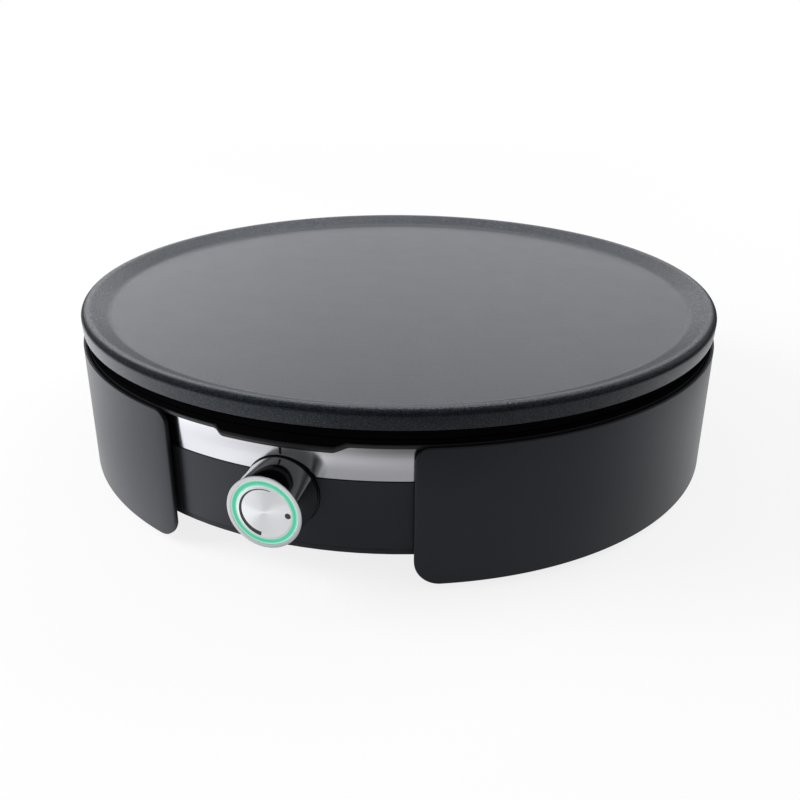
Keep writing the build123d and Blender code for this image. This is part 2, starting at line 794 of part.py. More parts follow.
with BuildPart() as side_panel_right:
    with BuildSketch(Plane((0, 0, 0), x_dir=front_edge, z_dir=front_edge.cross(Vector(0, 0, 1)))):
        with Locations((panel_inner, panel_bottom)):
            Rectangle(panel_wall, panel_top - panel_bottom, align=(Align.MIN, Align.MIN))
    revolve(axis=Axis.Z, revolution_arc=panel_sweep)
    corner_edges = side_panel_right.edges().filter_by(GeomType.LINE).filter_by(
        lambda e: abs((e @ 0).Z - (e @ 1).Z) < 0.01
    )
    fillet(corner_edges.group_by(Axis.Z)[-1], panel_top_corner)
    corner_edges = side_panel_right.edges().filter_by(GeomType.LINE).filter_by(
        lambda e: abs((e @ 0).Z - (e @ 1).Z) < 0.01
    )
    fillet(corner_edges.group_by(Axis.Z)[0], panel_bottom_corner)
    with Locations([outward(a, body_radius + peg_stand_off, h) for a, h in peg_spots if a > 0]):
        Cylinder(
            peg_shoulder_radius, panel_inner + panel_wall / 2 - body_radius - peg_stand_off,
            align=(Align.CENTER, Align.CENTER, Align.MIN),
        )
    with Locations([outward(a, body_inner - peg_overhang, h) for a, h in peg_spots if a > 0]):
        Cylinder(
            peg_radius, panel_inner + panel_wall / 2 - body_inner + peg_overhang,
            align=(Align.CENTER, Align.CENTER, Align.MIN),
        )
        Cylinder(
            screw_small + thread_clearance, peg_screw_depth,
            align=(Align.CENTER, Align.CENTER, Align.MIN), mode=Mode.SUBTRACT,
        )
side_panel_right.part.label = "side_panel_right"
export_step(side_panel_right.part, "parts/side_panel_right.step")

with BuildPart() as side_panel_left:
    mirror(side_panel_right.part, about=Plane.YZ)
side_panel_left.part.label = "side_panel_left"
export_step(side_panel_left.part, "parts/side_panel_left.step")

washer_face = body_inner - peg_overhang - washer_thickness
with BuildPart() as panel_washers:
    with Locations([outward(a, washer_face, h) for a, h in peg_spots]):
        Cylinder(washer_radius, washer_thickness, align=(Align.CENTER, Align.CENTER, Align.MIN))
        Cylinder(
            screw_small + pass_clearance, washer_thickness,
            align=(Align.CENTER, Align.CENTER, Align.MIN), mode=Mode.SUBTRACT,
        )
panel_washers.part.label = "panel_washers"
export_step(panel_washers.part, "parts/panel_washers.step")

panel_screw = pan_screw(screw_small, washer_thickness + peg_screw_depth - screw_end_room)
with BuildPart() as panel_screws:
    with Locations([outward(a + 180, -washer_face, h) for a, h in peg_spots]):
        add(panel_screw)
panel_screws.part.label = "panel_screws"
export_step(panel_screws.part, "parts/panel_screws.step")

# ------------------------------------------------------------------ knob seat and light board
# Black disc behind the knob that fits the body's curve. Its hub goes through the wall,
# carries the light board and guides the spindle.

with BuildPart() as knob_seat:
    with BuildSketch(forward(hub_end)):
        Circle(seat_radius)
    extrude(amount=seat_face - hub_end)
    with BuildSketch(Plane.XY):
        Circle(body_radius)
    extrude(amount=collar_top, mode=Mode.SUBTRACT)
    with BuildSketch(forward(hub_shoulder)):
        Circle(hub_radius)
    extrude(amount=seat_face - hub_shoulder)
    with BuildSketch(forward(hub_end)):
        Circle(hub_nose_radius)
    extrude(amount=hub_shoulder - hub_end)
    with BuildSketch(forward(hub_end)):
        Circle(spindle_radius + spindle_clearance)
        with Locations(*lamp_spots):
            Circle(lamp_hole)
    extrude(amount=seat_face - hub_end, mode=Mode.SUBTRACT)
knob_seat.part.label = "knob_seat"
export_step(knob_seat.part, "parts/knob_seat.step")

with BuildPart() as light_board:
    with BuildSketch(forward(hub_shoulder)):
        Circle(board_radius)
        Circle(hub_nose_radius + board_fit, mode=Mode.SUBTRACT)
    extrude(amount=-board_thickness)
light_board.part.label = "light_board"
export_step(light_board.part, "parts/light_board.step")

with BuildPart() as lamps:
    with BuildSketch(forward(hub_shoulder)):
        with Locations(*lamp_spots):
            Rectangle(lamp_size, lamp_size)
    extrude(amount=lamp_height)
lamps.part.label = "lamps"
export_step(lamps.part, "parts/lamps.step")

# ------------------------------------------------------------------ knob
# Polished sleeve over a clear light guide, a black core with a flatted bore, a diffusing
# ring flush with the sleeve, and a spun metal face inside the ring.

sleeve_inner = knob_radius - knob_sleeve_wall
guide_outer = sleeve_inner - slip
ring_face = knob_front - light_ring_recess
ring_back = ring_face - light_ring_depth
face_back = ring_face - face_thickness
flat_offset = spindle_radius - spindle_flat
flat_start = spindle_outer_end - flat_length

with BuildPart() as knob_sleeve:
    with BuildSketch(forward(knob_back)):
        Circle(knob_radius)
        Circle(sleeve_inner, mode=Mode.SUBTRACT)
    extrude(amount=knob_front - knob_back)
    chamfer(knob_sleeve.edges().group_by(Axis.Y)[0], knob_edge)
knob_sleeve.part.label = "knob_sleeve"
export_step(knob_sleeve.part, "parts/knob_sleeve.step")

with BuildPart() as knob_light_ring:
    with BuildSketch(forward(ring_back)):
        Circle(guide_outer)
        Circle(light_ring_inner, mode=Mode.SUBTRACT)
    extrude(amount=light_ring_depth)
    fillet(knob_light_ring.edges().group_by(Axis.Y)[0], knob_edge / 2)
knob_light_ring.part.label = "knob_light_ring"
export_step(knob_light_ring.part, "parts/knob_light_ring.step")

with BuildPart() as knob_light_guide:
    with BuildSketch(forward(knob_back)):
        Circle(guide_outer)
        Circle(core_radius + slip, mode=Mode.SUBTRACT)
    extrude(amount=ring_back - knob_back)
knob_light_guide.part.label = "knob_light_guide"
export_step(knob_light_guide.part, "parts/knob_light_guide.step")

with BuildPart() as knob_face:
    with BuildSketch(forward(face_back)):
        Circle(face_radius)
    extrude(amount=face_thickness)
    chamfer(knob_face.edges().group_by(Axis.Y)[0], knob_edge / 2)
knob_face.part.label = "knob_face"
export_step(knob_face.part, "parts/knob_face.step")

with BuildPart() as knob_core:
    with BuildSketch(forward(knob_back)):
        Circle(core_radius)
    extrude(amount=face_back - knob_back)
    with BuildSketch(forward(knob_back)):
        Circle(core_pocket_radius)
        Circle(core_collar_radius, mode=Mode.SUBTRACT)
    extrude(amount=core_pocket_depth, mode=Mode.SUBTRACT)
    with BuildSketch(forward(knob_back)):
        Circle(spindle_radius + spindle_clearance)
    extrude(amount=flat_start + spindle_clearance - knob_back, mode=Mode.SUBTRACT)
    with BuildSketch(forward(flat_start + spindle_clearance)):
        Circle(spindle_radius + spindle_clearance)
        with Locations((0, flat_offset + spindle_clearance)):
            Rectangle(
                4 * spindle_radius, 2 * spindle_radius, align=(Align.CENTER, Align.MIN), mode=Mode.SUBTRACT
            )
    extrude(amount=flat_length, mode=Mode.SUBTRACT)
knob_core.part.label = "knob_core"
export_step(knob_core.part, "parts/knob_core.step")

with BuildPart() as knob_clip:
    with BuildSketch(forward(knob_back + core_pocket_depth - clip_width)):
        Circle(core_collar_radius + strap_clearance + clip_thickness)
        Circle(core_collar_radius + strap_clearance, mode=Mode.SUBTRACT)
        with Locations((0, -core_collar_radius)):
            Rectangle(core_collar_radius * radians(clip_slot_angle), core_collar_radius, mode=Mode.SUBTRACT)
    extrude(amount=clip_width)
knob_clip.part.label = "knob_clip"
export_step(knob_clip.part, "parts/knob_clip.step")

with BuildPart() as spindle:
    with BuildSketch(forward(spindle_inner_end)):
        Circle(spindle_radius)
    extrude(amount=spindle_outer_end - spindle_inner_end)
    with BuildSketch(forward(flat_start)):
        with Locations((0, flat_offset)):
            Rectangle(4 * spindle_radius, 2 * spindle_radius, align=(Align.CENTER, Align.MIN))
    extrude(amount=flat_length, mode=Mode.SUBTRACT)
spindle.part.label = "spindle"
export_step(spindle.part, "parts/spindle.step")

# ------------------------------------------------------------------ thermostat
# Capillary thermostat on a steel bracket behind the front wall. The spindle's thread
# drives a plunger in and out of the body, and the sensor bulb lies against the plate.

bracket_screw_spots = [(side * bracket_screw_half, 0) for side in (-1, 1)]

with BuildPart() as thermostat_bracket:
    with BuildSketch(forward(bracket_back)):
        RectangleRounded(bracket_width, bracket_height, bracket_corner)
        Circle(spindle_well_radius, mode=Mode.SUBTRACT)
        with Locations(*bracket_screw_spots):
            Circle(screw_small + pass_clearance, mode=Mode.SUBTRACT)
    extrude(amount=bracket_thickness)
thermostat_bracket.part.label = "thermostat_bracket"
export_step(thermostat_bracket.part, "parts/thermostat_bracket.step")

bracket_hole = bracket_boss_reach - bracket_face - blind_floor
bracket_screw = pan_screw(screw_small, bracket_thickness + bracket_hole - screw_end_room)
with BuildPart() as bracket_screws:
    with Locations(*[
        Plane((x, -bracket_back, knob_height), x_dir=(1, 0, 0), z_dir=(0, 1, 0))
        for x, z in bracket_screw_spots
    ]):
        add(bracket_screw)
bracket_screws.part.label = "bracket_screws"
export_step(bracket_screws.part, "parts/bracket_screws.step")

plunger_front = spindle_inner_end - plunger_gap
plunger_back = plunger_front - plunger_length
well_floor = bracket_back - spindle_well_depth

with BuildPart() as thermostat_body:
    with BuildSketch(forward(thermostat_back)):
        RectangleRounded(thermostat_width, thermostat_height, thermostat_corner)
    extrude(amount=thermostat_depth)
    with BuildSketch(forward(well_floor)):
        Circle(spindle_well_radius)
    extrude(amount=spindle_well_depth, mode=Mode.SUBTRACT)
    with BuildSketch(forward(plunger_back - plunger_room)):
        Circle(plunger_bore)
    extrude(amount=plunger_length + plunger_room, mode=Mode.SUBTRACT)
thermostat_body.part.label = "thermostat_body"
export_step(thermostat_body.part, "parts/thermostat_body.step")

with BuildPart() as setting_plunger:
    with BuildSketch(forward(plunger_back)):
        Circle(plunger_radius)
    extrude(amount=plunger_length)
setting_plunger.part.label = "setting_plunger"
export_step(setting_plunger.part, "parts/setting_plunger.step")

contact_level = knob_height + contact_rise
with BuildPart() as contact_blades:
    with BuildSketch(forward(thermostat_back, height=contact_level)):
        with Locations((-contact_half, 0), (contact_half, 0)):
            Rectangle(blade_width, blade_thickness)
    extrude(amount=-blade_length)
contact_blades.part.label = "contact_blades"
export_step(contact_blades.part, "parts/contact_blades.step")

capillary_level = knob_height + capillary_rise
capillary_tube = round_tube(
    capillary_radius,
    capillary_bend,
    (0, -thermostat_back, capillary_level),
    (0, -capillary_turn, capillary_level),
    (0, -capillary_turn, bulb_level),
    (0, -bulb_start, bulb_level),
)
capillary_tube.part.label = "capillary_tube"
export_step(capillary_tube.part, "parts/capillary_tube.step")

with BuildPart() as sensor_bulb:
    with BuildSketch(forward(bulb_start, height=bulb_level)):
        Circle(bulb_radius)
    extrude(amount=-bulb_length)
    chamfer(sensor_bulb.edges().filter_by(GeomType.CIRCLE), bulb_radius / 3)
sensor_bulb.part.label = "sensor_bulb"
export_step(sensor_bulb.part, "parts/sensor_bulb.step")

with BuildPart() as thermal_fuse:
    with BuildSketch(forward(-fuse_y, x=fuse_x, height=bulb_level)):
        Circle(bulb_radius)
    extrude(amount=-fuse_length)
    chamfer(thermal_fuse.edges().filter_by(GeomType.CIRCLE), bulb_radius / 4)
thermal_fuse.part.label = "thermal_fuse"
export_step(thermal_fuse.part, "parts/thermal_fuse.step")

# Two spring straps hold the bulb and the fuse against the plate's underside.
strap_inner = bulb_radius + strap_clearance
strap_outer = strap_inner + clip_strap
strap_rise = plate_underside - bulb_level

with BuildPart() as sensor_straps:
    for strap_x, strap_y in strap_spots:
        with BuildSketch(forward(-strap_y - clip_strap_width / 2, strap_x, bulb_level)):
            Circle(strap_outer)
            Rectangle(2 * strap_outer, strap_rise, align=(Align.CENTER, Align.MIN))
            with Locations((0, strap_rise)):
                Rectangle(2 * (strap_outer + clip_wing), clip_strap, align=(Align.CENTER, Align.MAX))
                Rectangle(
                    4 * strap_outer, 2 * strap_outer, align=(Align.CENTER, Align.MIN), mode=Mode.SUBTRACT
                )
            Circle(strap_inner, mode=Mode.SUBTRACT)
            Rectangle(2 * strap_inner, strap_rise, align=(Align.CENTER, Align.MIN), mode=Mode.SUBTRACT)
        extrude(amount=clip_strap_width)
    with Locations(*[(x, y, plate_underside) for x, y in strap_screw_spots]):
        Hole(screw_small + pass_clearance, depth=2 * clip_strap)
sensor_straps.part.label = "sensor_straps"
export_step(sensor_straps.part, "parts/sensor_straps.step")

strap_screw = pan_screw(screw_small, clip_strap + strap_screw_depth - screw_end_room)
with BuildPart() as strap_screws:
    with Locations(*[below(x, y, plate_underside - clip_strap) for x, y in strap_screw_spots]):
        add(strap_screw)
strap_screws.part.label = "strap_screws"
export_step(strap_screws.part, "parts/strap_screws.step")

# ------------------------------------------------------------------ terminals and earth
terminal_wire_level = base_top + terminal_wire_rise
terminal_top = base_top + terminal_height
terminal_front = terminal_y - terminal_depth / 2
pole_x = [pole_pitch * (k - (terminal_poles - 1) / 2) for k in range(terminal_poles)]
screw_well_radius = screw_head_ratio * screw_small + pass_clearance

with BuildPart() as terminal_block:
    with Locations((0, terminal_y, base_top)):
        Box(terminal_length, terminal_depth, terminal_height, align=(Align.CENTER, Align.CENTER, Align.MIN))
    chamfer(terminal_block.edges().filter_by(Axis.Z), terminal_edge)
    with BuildSketch(forward(-terminal_front, height=terminal_wire_level)):
        with Locations(*[(x, 0) for x in pole_x]):
            Circle(wire_radius + bore_clearance)
    extrude(amount=-terminal_depth, mode=Mode.SUBTRACT)
    with Locations(*[(x, terminal_y, terminal_top) for x in pole_x]):
        CounterBoreHole(
            screw_small + thread_clearance, screw_well_radius, terminal_well_depth,
            terminal_top - terminal_wire_level,
        )
terminal_block.part.label = "terminal_block"
export_step(terminal_block.part, "parts/terminal_block.step")

terminal_screw = pan_screw(
    screw_small, terminal_top - terminal_well_depth - terminal_wire_level - wire_radius - bore_clearance
)
with BuildPart() as terminal_screws:
    with Locations(*[(x, terminal_y, terminal_top - terminal_well_depth) for x in pole_x]):
        add(terminal_screw)
terminal_screws.part.label = "terminal_screws"
export_step(terminal_screws.part, "parts/terminal_screws.step")

earth_blade_y = earth_y - earth_pad_radius - blade_thickness
with BuildPart() as earth_tab:
    with BuildSketch(Plane.XY.offset(shield_bottom)):
        with Locations((earth_x, earth_y)):
            Circle(earth_pad_radius)
            Rectangle(
                blade_width, earth_y - earth_blade_y + blade_thickness / 2, align=(Align.CENTER, Align.MAX)
            )
            Circle(screw_small + pass_clearance, mode=Mode.SUBTRACT)
    extrude(amount=-blade_thickness)
    with Locations((earth_x, earth_blade_y, shield_bottom)):
        Box(blade_width, blade_thickness, earth_blade_drop, align=(Align.CENTER, Align.CENTER, Align.MAX))
earth_tab.part.label = "earth_tab"
export_step(earth_tab.part, "parts/earth_tab.step")

with BuildPart() as earth_screw:
    with Locations(below(earth_x, earth_y, shield_bottom - blade_thickness)):
        add(pan_screw(screw_small, blade_thickness + 2 * shield_thickness))
earth_screw.part.label = "earth_screw"
export_step(earth_screw.part, "parts/earth_screw.step")

# ------------------------------------------------------------------ cord bush and clamp
flange_face = body_radius + cord_flange_gap

with BuildPart() as cord_bush:
    with BuildSketch(outward(180, cord_bush_inner, cord_height)):
        Circle(cord_bush_radius)
    extrude(amount=flange_face - cord_bush_inner)
    with BuildSketch(outward(180, flange_face, cord_height)):
        Circle(cord_flange_radius)
    extrude(amount=cord_flange_thickness)
    fillet(cord_bush.edges().group_by(Axis.Y)[-1], cord_flange_thickness / 2)
    with BuildSketch(outward(180, body_inner - cord_barb_gap, cord_height)):
        Circle(cord_bush_radius + cord_barb)
    extrude(amount=-cord_barb_length)
    with BuildSketch(outward(180, cord_bush_inner, cord_height)):
        Circle(cord_bore)
    extrude(amount=flange_face + cord_flange_thickness - cord_bush_inner, mode=Mode.SUBTRACT)
cord_bush.part.label = "cord_bush"
export_step(cord_bush.part, "parts/cord_bush.step")

with BuildPart() as cord_clamp:
    with BuildSketch(Plane.XY.offset(clamp_post_top)):
        with Locations((0, clamp_y)):
            SlotOverall(2 * (clamp_half + clamp_post_radius), clamp_width)
        with Locations(*[(side * clamp_half, clamp_y) for side in (-1, 1)]):
            Circle(screw_small + pass_clearance, mode=Mode.SUBTRACT)
    extrude(amount=clamp_bar)
    with BuildSketch(forward(-clamp_y, height=cord_height)):
        Circle(cord_bore)
    extrude(amount=clamp_width, both=True, mode=Mode.SUBTRACT)
cord_clamp.part.label = "cord_clamp"
export_step(cord_clamp.part, "parts/cord_clamp.step")

clamp_hole = clamp_post_top - base_top - blind_floor
clamp_screw = pan_screw(screw_small, clamp_bar + clamp_hole - screw_end_room)
with BuildPart() as clamp_screws:
    with Locations(*[(side * clamp_half, clamp_y, clamp_post_top + clamp_bar) for side in (-1, 1)]):
        add(clamp_screw)
clamp_screws.part.label = "clamp_screws"
export_step(clamp_screws.part, "parts/clamp_screws.step")

# ------------------------------------------------------------------ inner wires
# Each runs from a pole of the terminal block, or from blade to blade, in easy bends.

wire_start = terminal_front + wire_insertion
riser_y = riser_run_back - thermostat_back
light_level = base_top + light_rise
block_end = terminal_front - block_run
upper_lane = lane_level + 5 * wire_radius
blade_front = -thermostat_back + blade_length
element_blade_middle = element_leg_bottom - terminal_pin_length - blade_length / 2
element_blade_front = leg_top.Y - blade_thickness / 2

live_wire = round_tube(
    wire_radius, wire_bend,
    (pole_x[3], wire_start, terminal_wire_level),
    (pole_x[3], block_end, terminal_wire_level),
    (lane_x, lane_half, lane_level),
    (lane_x, -lane_half, lane_level),
    (contact_half, riser_y + riser_run, lane_level + 2 * wire_radius),
    (contact_half, riser_y, contact_level),
    (contact_half, blade_front, contact_level),
)
live_wire.part.label = "live_wire"
export_step(live_wire.part, "parts/live_wire.step")

switched_wire = round_tube(
    wire_radius, wire_bend,
    (-contact_half, blade_front, contact_level),
    (-contact_half, riser_y, contact_level),
    (-contact_half, riser_y + riser_run, upper_lane),
    (lane_x, -2 * lane_half / 3, upper_lane - wire_radius),
    (fuse_x, fuse_front_wire, upper_lane + 3 * wire_radius),
    (fuse_x, fuse_front_wire, bulb_level),
    (fuse_x, fuse_y, bulb_level),
)
switched_wire.part.label = "switched_wire"
export_step(switched_wire.part, "parts/switched_wire.step")

element_wire = round_tube(
    wire_radius, wire_bend,
    (fuse_x, fuse_y + fuse_length, bulb_level),
    (fuse_x, fuse_rear_wire, bulb_level),
    (fuse_x, fuse_rear_wire, element_blade_middle + wire_bend / 2),
    (-leg_top.X, neutral_y, element_blade_middle),
    (-leg_top.X, element_blade_front, element_blade_middle),
)
element_wire.part.label = "element_wire"
export_step(element_wire.part, "parts/element_wire.step")

neutral_wire = round_tube(
    wire_radius, lead_bend,
    (pole_x[0], wire_start, terminal_wire_level),
    (pole_x[0], terminal_front - block_run / 4, terminal_wire_level),
    (leg_top.X, neutral_y, terminal_wire_level),
    (leg_top.X, neutral_y, element_blade_middle),
    (leg_top.X, element_blade_front, element_blade_middle),
)
neutral_wire.part.label = "neutral_wire"
export_step(neutral_wire.part, "parts/neutral_wire.step")

earth_wire_level = shield_bottom - earth_blade_drop / 2 - wire_radius
earth_wire = round_tube(
    wire_radius, wire_bend,
    (pole_x[1], wire_start, terminal_wire_level),
    (pole_x[1], block_end, terminal_wire_level),
    (-lane_x, lane_half - wire_bend, lane_level + 10 * wire_radius),
    (earth_x, earth_y - earth_run, earth_wire_level),
    (earth_x, earth_blade_y - blade_thickness / 2, earth_wire_level),
)
earth_wire.part.label = "earth_wire"
export_step(earth_wire.part, "parts/earth_wire.step")

board_middle = hub_shoulder - board_thickness / 2
light_lead = round_tube(
    lead_radius, lead_bend,
    (0, -board_middle, knob_height - board_radius),
    (0, -board_middle, light_level),
    (-lead_bend, -post_circle, light_level),
    (light_x, -lane_half, light_level),
    (light_x, lane_half / 2, light_level),
    (pole_x[2], block_end, terminal_wire_level),
    (pole_x[2], wire_start, terminal_wire_level),
)
light_lead.part.label = "light_lead"
export_step(light_lead.part, "parts/light_lead.step")
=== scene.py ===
import math

import bmesh
import bpy
import numpy as np
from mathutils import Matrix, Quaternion, Vector


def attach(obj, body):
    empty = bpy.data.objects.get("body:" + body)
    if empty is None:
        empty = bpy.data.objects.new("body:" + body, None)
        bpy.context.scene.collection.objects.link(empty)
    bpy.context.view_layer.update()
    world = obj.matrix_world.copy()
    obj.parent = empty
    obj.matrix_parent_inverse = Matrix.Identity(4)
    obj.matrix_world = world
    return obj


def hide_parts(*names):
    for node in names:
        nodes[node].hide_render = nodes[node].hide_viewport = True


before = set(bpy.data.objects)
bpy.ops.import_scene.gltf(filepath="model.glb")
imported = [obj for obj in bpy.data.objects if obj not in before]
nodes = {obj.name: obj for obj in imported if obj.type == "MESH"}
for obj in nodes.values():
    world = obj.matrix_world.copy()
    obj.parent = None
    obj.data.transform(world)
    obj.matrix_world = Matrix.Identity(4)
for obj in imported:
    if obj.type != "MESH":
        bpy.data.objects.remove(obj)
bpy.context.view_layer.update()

# ------------------------------------------------------------------ camera
# It stands in front of the appliance, a little to the right of the knob, and looks down
# on the plate from half a metre away.

camera_distance = 0.51605
camera_azimuth = math.radians(17.1)
camera_height = 0.24505
camera_target = Vector((0.0477, -0.15311, 0.086))
camera_roll = math.radians(0.37)

camera = bpy.data.objects.new("camera", bpy.data.cameras.new("camera"))
camera.data.lens = 41.9
camera.data.sensor_width = 36.0
camera.data.clip_start = 0.01
camera.location = (
    camera_distance * math.sin(camera_azimuth), -camera_distance * math.cos(camera_azimuth), camera_height
)
gaze = camera_target - camera.location
turned_to_target = gaze.to_track_quat("-Z", "Y")
camera.rotation_mode = "QUATERNION"
camera.rotation_quaternion = turned_to_target @ Quaternion((0, 0, 1), camera_roll)
bpy.context.scene.collection.objects.link(camera)
bpy.context.scene.camera = camera
bpy.context.scene.view_settings.view_transform = "Standard"

# ------------------------------------------------------------------ studio
# A pale floor that runs out of sight, soft daylight from all round, a wide lamp at the left and
# a smaller one behind at the right. Gloss sees a lit sheet behind and above, a dark horizon, and
# gloom in front and to the right.


class Wire:
    """A socket in a node tree. Arithmetic on it adds the Math nodes that work it out."""

    def __init__(self, tree, socket=None):
        self.tree = tree
        self.socket = socket

    def node(self, kind, settings, sockets, output=0):
        """Adds one node, sets its settings and then its sockets, and gives back one of its outputs."""
        made = self.tree.nodes.new(kind)
        for name, value in settings.items():
            setattr(made, name, value)
        for name, value in sockets.items():
            if isinstance(value, Wire):
                self.tree.links.new(value.socket, made.inputs[name])
            else:
                made.inputs[name].default_value = value
        return Wire(self.tree, made.outputs[output]) if made.outputs else None

    def math(self, operation, *values):
        """One Math node on these values."""
        return self.node("ShaderNodeMath", {"operation": operation}, dict(enumerate(values)))

    def __add__(self, other):
        return self.math("ADD", self, other)

    def __radd__(self, other):
        return self.math("ADD", other, self)

    def __sub__(self, other):
        return self.math("SUBTRACT", self, other)

    def __rsub__(self, other):
        return self.math("SUBTRACT", other, self)

    def __mul__(self, other):
        return self.math("MULTIPLY", self, other)

    def __rmul__(self, other):
        return self.math("MULTIPLY", other, self)

    def __truediv__(self, other):
        return self.math("DIVIDE", self, other)

    def __pow__(self, other):
        return self.math("POWER", self, other)

    def __neg__(self):
        return 0 - self

    def __abs__(self):
        return self.math("ABSOLUTE", self)

    def reach_with(self, other):
        """Length of the straight line that goes this far one way and that far square to it."""
        return self.math("SQRT", self * self + other * other)

    def rise(self, low, high):
        """Goes smoothly from 0 at low to 1 at high."""
        return self.node(
            "ShaderNodeMapRange", {"interpolation_type": "SMOOTHSTEP"},
            {"Value": self, "From Min": low, "From Max": high},
        )

    def tint(self, low, high):
        """Colour that goes from low to high as this value goes from 0 to 1."""
        return self.node("ShaderNodeMix", {"data_type": "RGBA"}, {0: self, 6: low, 7: high}, 2)

    def part(self, number):
        """X, Y or Z of a vector."""
        return self.node("ShaderNodeSeparateXYZ", {}, {"Vector": self}, number)

    def speckle(self, scale, detail=2.0, stretch=(1, 1, 1)):
        """Noise from 0 to 1, so many grains to a metre, drawn out along an axis by a small stretch."""
        place = self.node("ShaderNodeMapping", {}, {"Vector": self, "Scale": stretch})
        return self.node("ShaderNodeTexNoise", {}, {"Vector": place, "Scale": scale, "Detail": detail})

    def bump(self, distance):
        """Normal of a surface raised by this value times a distance in metres."""
        return self.node("ShaderNodeBump", {}, {"Height": self, "Distance": distance}, "Normal")


def shade(red, green, blue):
    """Colour written as a screen shows it, 0 to 255, worked out as the light it stands for."""
    screen = np.array((red, green, blue)) / 255
    light = np.where(screen > 0.04045, ((screen + 0.055) / 1.055) ** 2.4, screen / 12.92)
    return (*light.tolist(), 1.0)


white = shade(255, 255, 255)

sky = bpy.data.worlds.new("soft_daylight")
bpy.context.scene.world = sky
sky.use_nodes = True
sky.node_tree.nodes.clear()
air = Wire(sky.node_tree)
toward = air.node("ShaderNodeTexCoord", {}, {}, "Generated")
right, away, up = toward.part(0), toward.part(1), toward.part(2)
seen = air.node("ShaderNodeLightPath", {}, {}, "Is Camera Ray")
mirrored = air.node("ShaderNodeLightPath", {}, {}, "Is Glossy Ray")

# Gloss mirrors a sheet that is brightest low down and overhead. It is dark in front and at the horizon, and
# it is brighter towards the left than behind at the right.
sheet = 1.18 + 0.75 * (1 - up.rise(0.24, 0.4)) + 1.3 * up.rise(0.6, 0.9)
behind = away - 0.5 * abs(right)
front_gloom = 0.14 + 0.86 * behind.rise(0.1, 0.36) - 0.06 * (-away).rise(0.1, 0.5)
horizon = 0.1 + 0.9 * up.rise(0.1, 0.26)
sideways = 1.05 + 0.4 * (-right).rise(0.3, 0.65) - 0.8 * right.rise(0.06, 0.24) * away.rise(0.3, 0.8)

daylight_level = 0.5
level = mirrored * (sheet * sideways * front_gloom * horizon) + (1 - mirrored) * daylight_level
level = seen + (1 - seen) * level
cool = shade(252, 252, 255)
daylight = air.node("ShaderNodeBackground", {}, {"Color": mirrored.tint(white, cool), "Strength": level})
air.node("ShaderNodeOutputWorld", {}, {"Surface": daylight})


def finish(name, surface):
    """Material whose shader the function surface works out from Object coordinates."""
    made = bpy.data.materials.new(name)
    made.use_nodes = True
    made.node_tree.nodes.clear()
    start = Wire(made.node_tree)
    place = start.node("ShaderNodeTexCoord", {}, {}, "Object")
    start.node("ShaderNodeOutputMaterial", {}, {"Surface": surface(place)})
    return made


def studio_floor(place):
    """Matt white that keeps a soft shadow, but is seen nearly as plain white. What gloss mirrors of it
    carries painted shade and painted pools of light from place to place."""
    seen_by = [
        place.node("ShaderNodeLightPath", {}, {}, ray)
        for ray in ("Is Camera Ray", "Is Glossy Ray", "Is Transmission Ray")
    ]
    looked_at = seen_by[0] + seen_by[1] + seen_by[2]
    across, away = place.part(0), place.part(1)
    reach = across.reach_with(away)

    # Painted shade, seen only in gloss: in front, the strip near the appliance and the floor beyond it each
    # darken
    #     towards the right, and so does a patch straight ahead.
    near = 1 - reach.rise(0.25, 0.29)
    shaded = near * (0.98 * across.rise(-0.09, 0.01))
    shaded = shaded + (1 - near) * (0.62 * across.rise(-0.2, -0.04) + 0.25 * across.rise(-0.03, 0.13))
    off_centre = abs(across + 0.31 * away)
    shaded = shaded + 0.45 * reach.rise(0.31, 0.34) * (1 - off_centre.rise(0.08, 0.24))

    # Painted pools of light, seen only in gloss: a small bright spot before the knob and a wide one at the
    # far left.
    to_spot = (across + 0.03).reach_with(away + 0.285)
    painted_light_spots = 0.5 * (1 - to_spot.rise(0.015, 0.045)) + 0.55 * (1 - across.rise(-0.3, -0.18))
    mirrored_level = 1.3 + painted_light_spots - (-away).rise(-0.1, 0.18) * shaded
    # Painted shade in gloss too: the floor darkens far out and behind at the right.
    painted_shade_far_out = 0.85 * reach.rise(0.42, 0.58)
    painted_shade_behind_right = 0.85 * reach.rise(0.3, 0.36) * across.rise(0.04, 0.14) * away.rise(0.0, 0.15)
    dimmer = 1.0 + seen_by[1] * (mirrored_level * (1 - painted_shade_far_out) * (1 - painted_shade_behind_right) - 1.0)
    matt = place.node("ShaderNodeBsdfDiffuse", {}, {"Color": shade(245, 245, 245)})
    glow = place.node("ShaderNodeEmission", {}, {"Color": seen_by[1].tint(white, cool), "Strength": dimmer})
    plain = looked_at * (0.82 + 0.18 * reach.rise(0.45, 1.3))
    return place.node("ShaderNodeMixShader", {}, {0: plain, 1: matt, 2: glow})


floor_reach = 60.0
floor_mesh = bpy.data.meshes.new("floor")
floor_mesh.from_pydata(
    [(x * floor_reach, y * floor_reach, 0) for x, y in ((-1, -1), (1, -1), (1, 1), (-1, 1))],
    [], [(0, 1, 2, 3)],
)
floor = bpy.data.objects.new("floor", floor_mesh)
floor_mesh.materials.append(finish("studio_floor", studio_floor))
bpy.context.scene.collection.objects.link(floor)


appliance_middle = Vector((0, 0, 0.05))


def lamp(name, place, width, power):
    """Square soft lamp that faces the middle of the appliance and isn't mirrored in it."""
    data = bpy.data.lights.new(name, "AREA")
    data.size = width
    data.energy = power
    made = bpy.data.objects.new(name, data)
    made.location = place
    made.rotation_euler = (appliance_middle - made.location).to_track_quat("-Z", "Y").to_euler()
    made.visible_glossy = False
    bpy.context.scene.collection.objects.link(made)


lamp("lamp_left", (-1.5, -0.5, 0.8), width=1.1, power=34.0)
lamp("lamp_behind", (1.1, 1.2, 0.9), width=0.9, power=12.0)

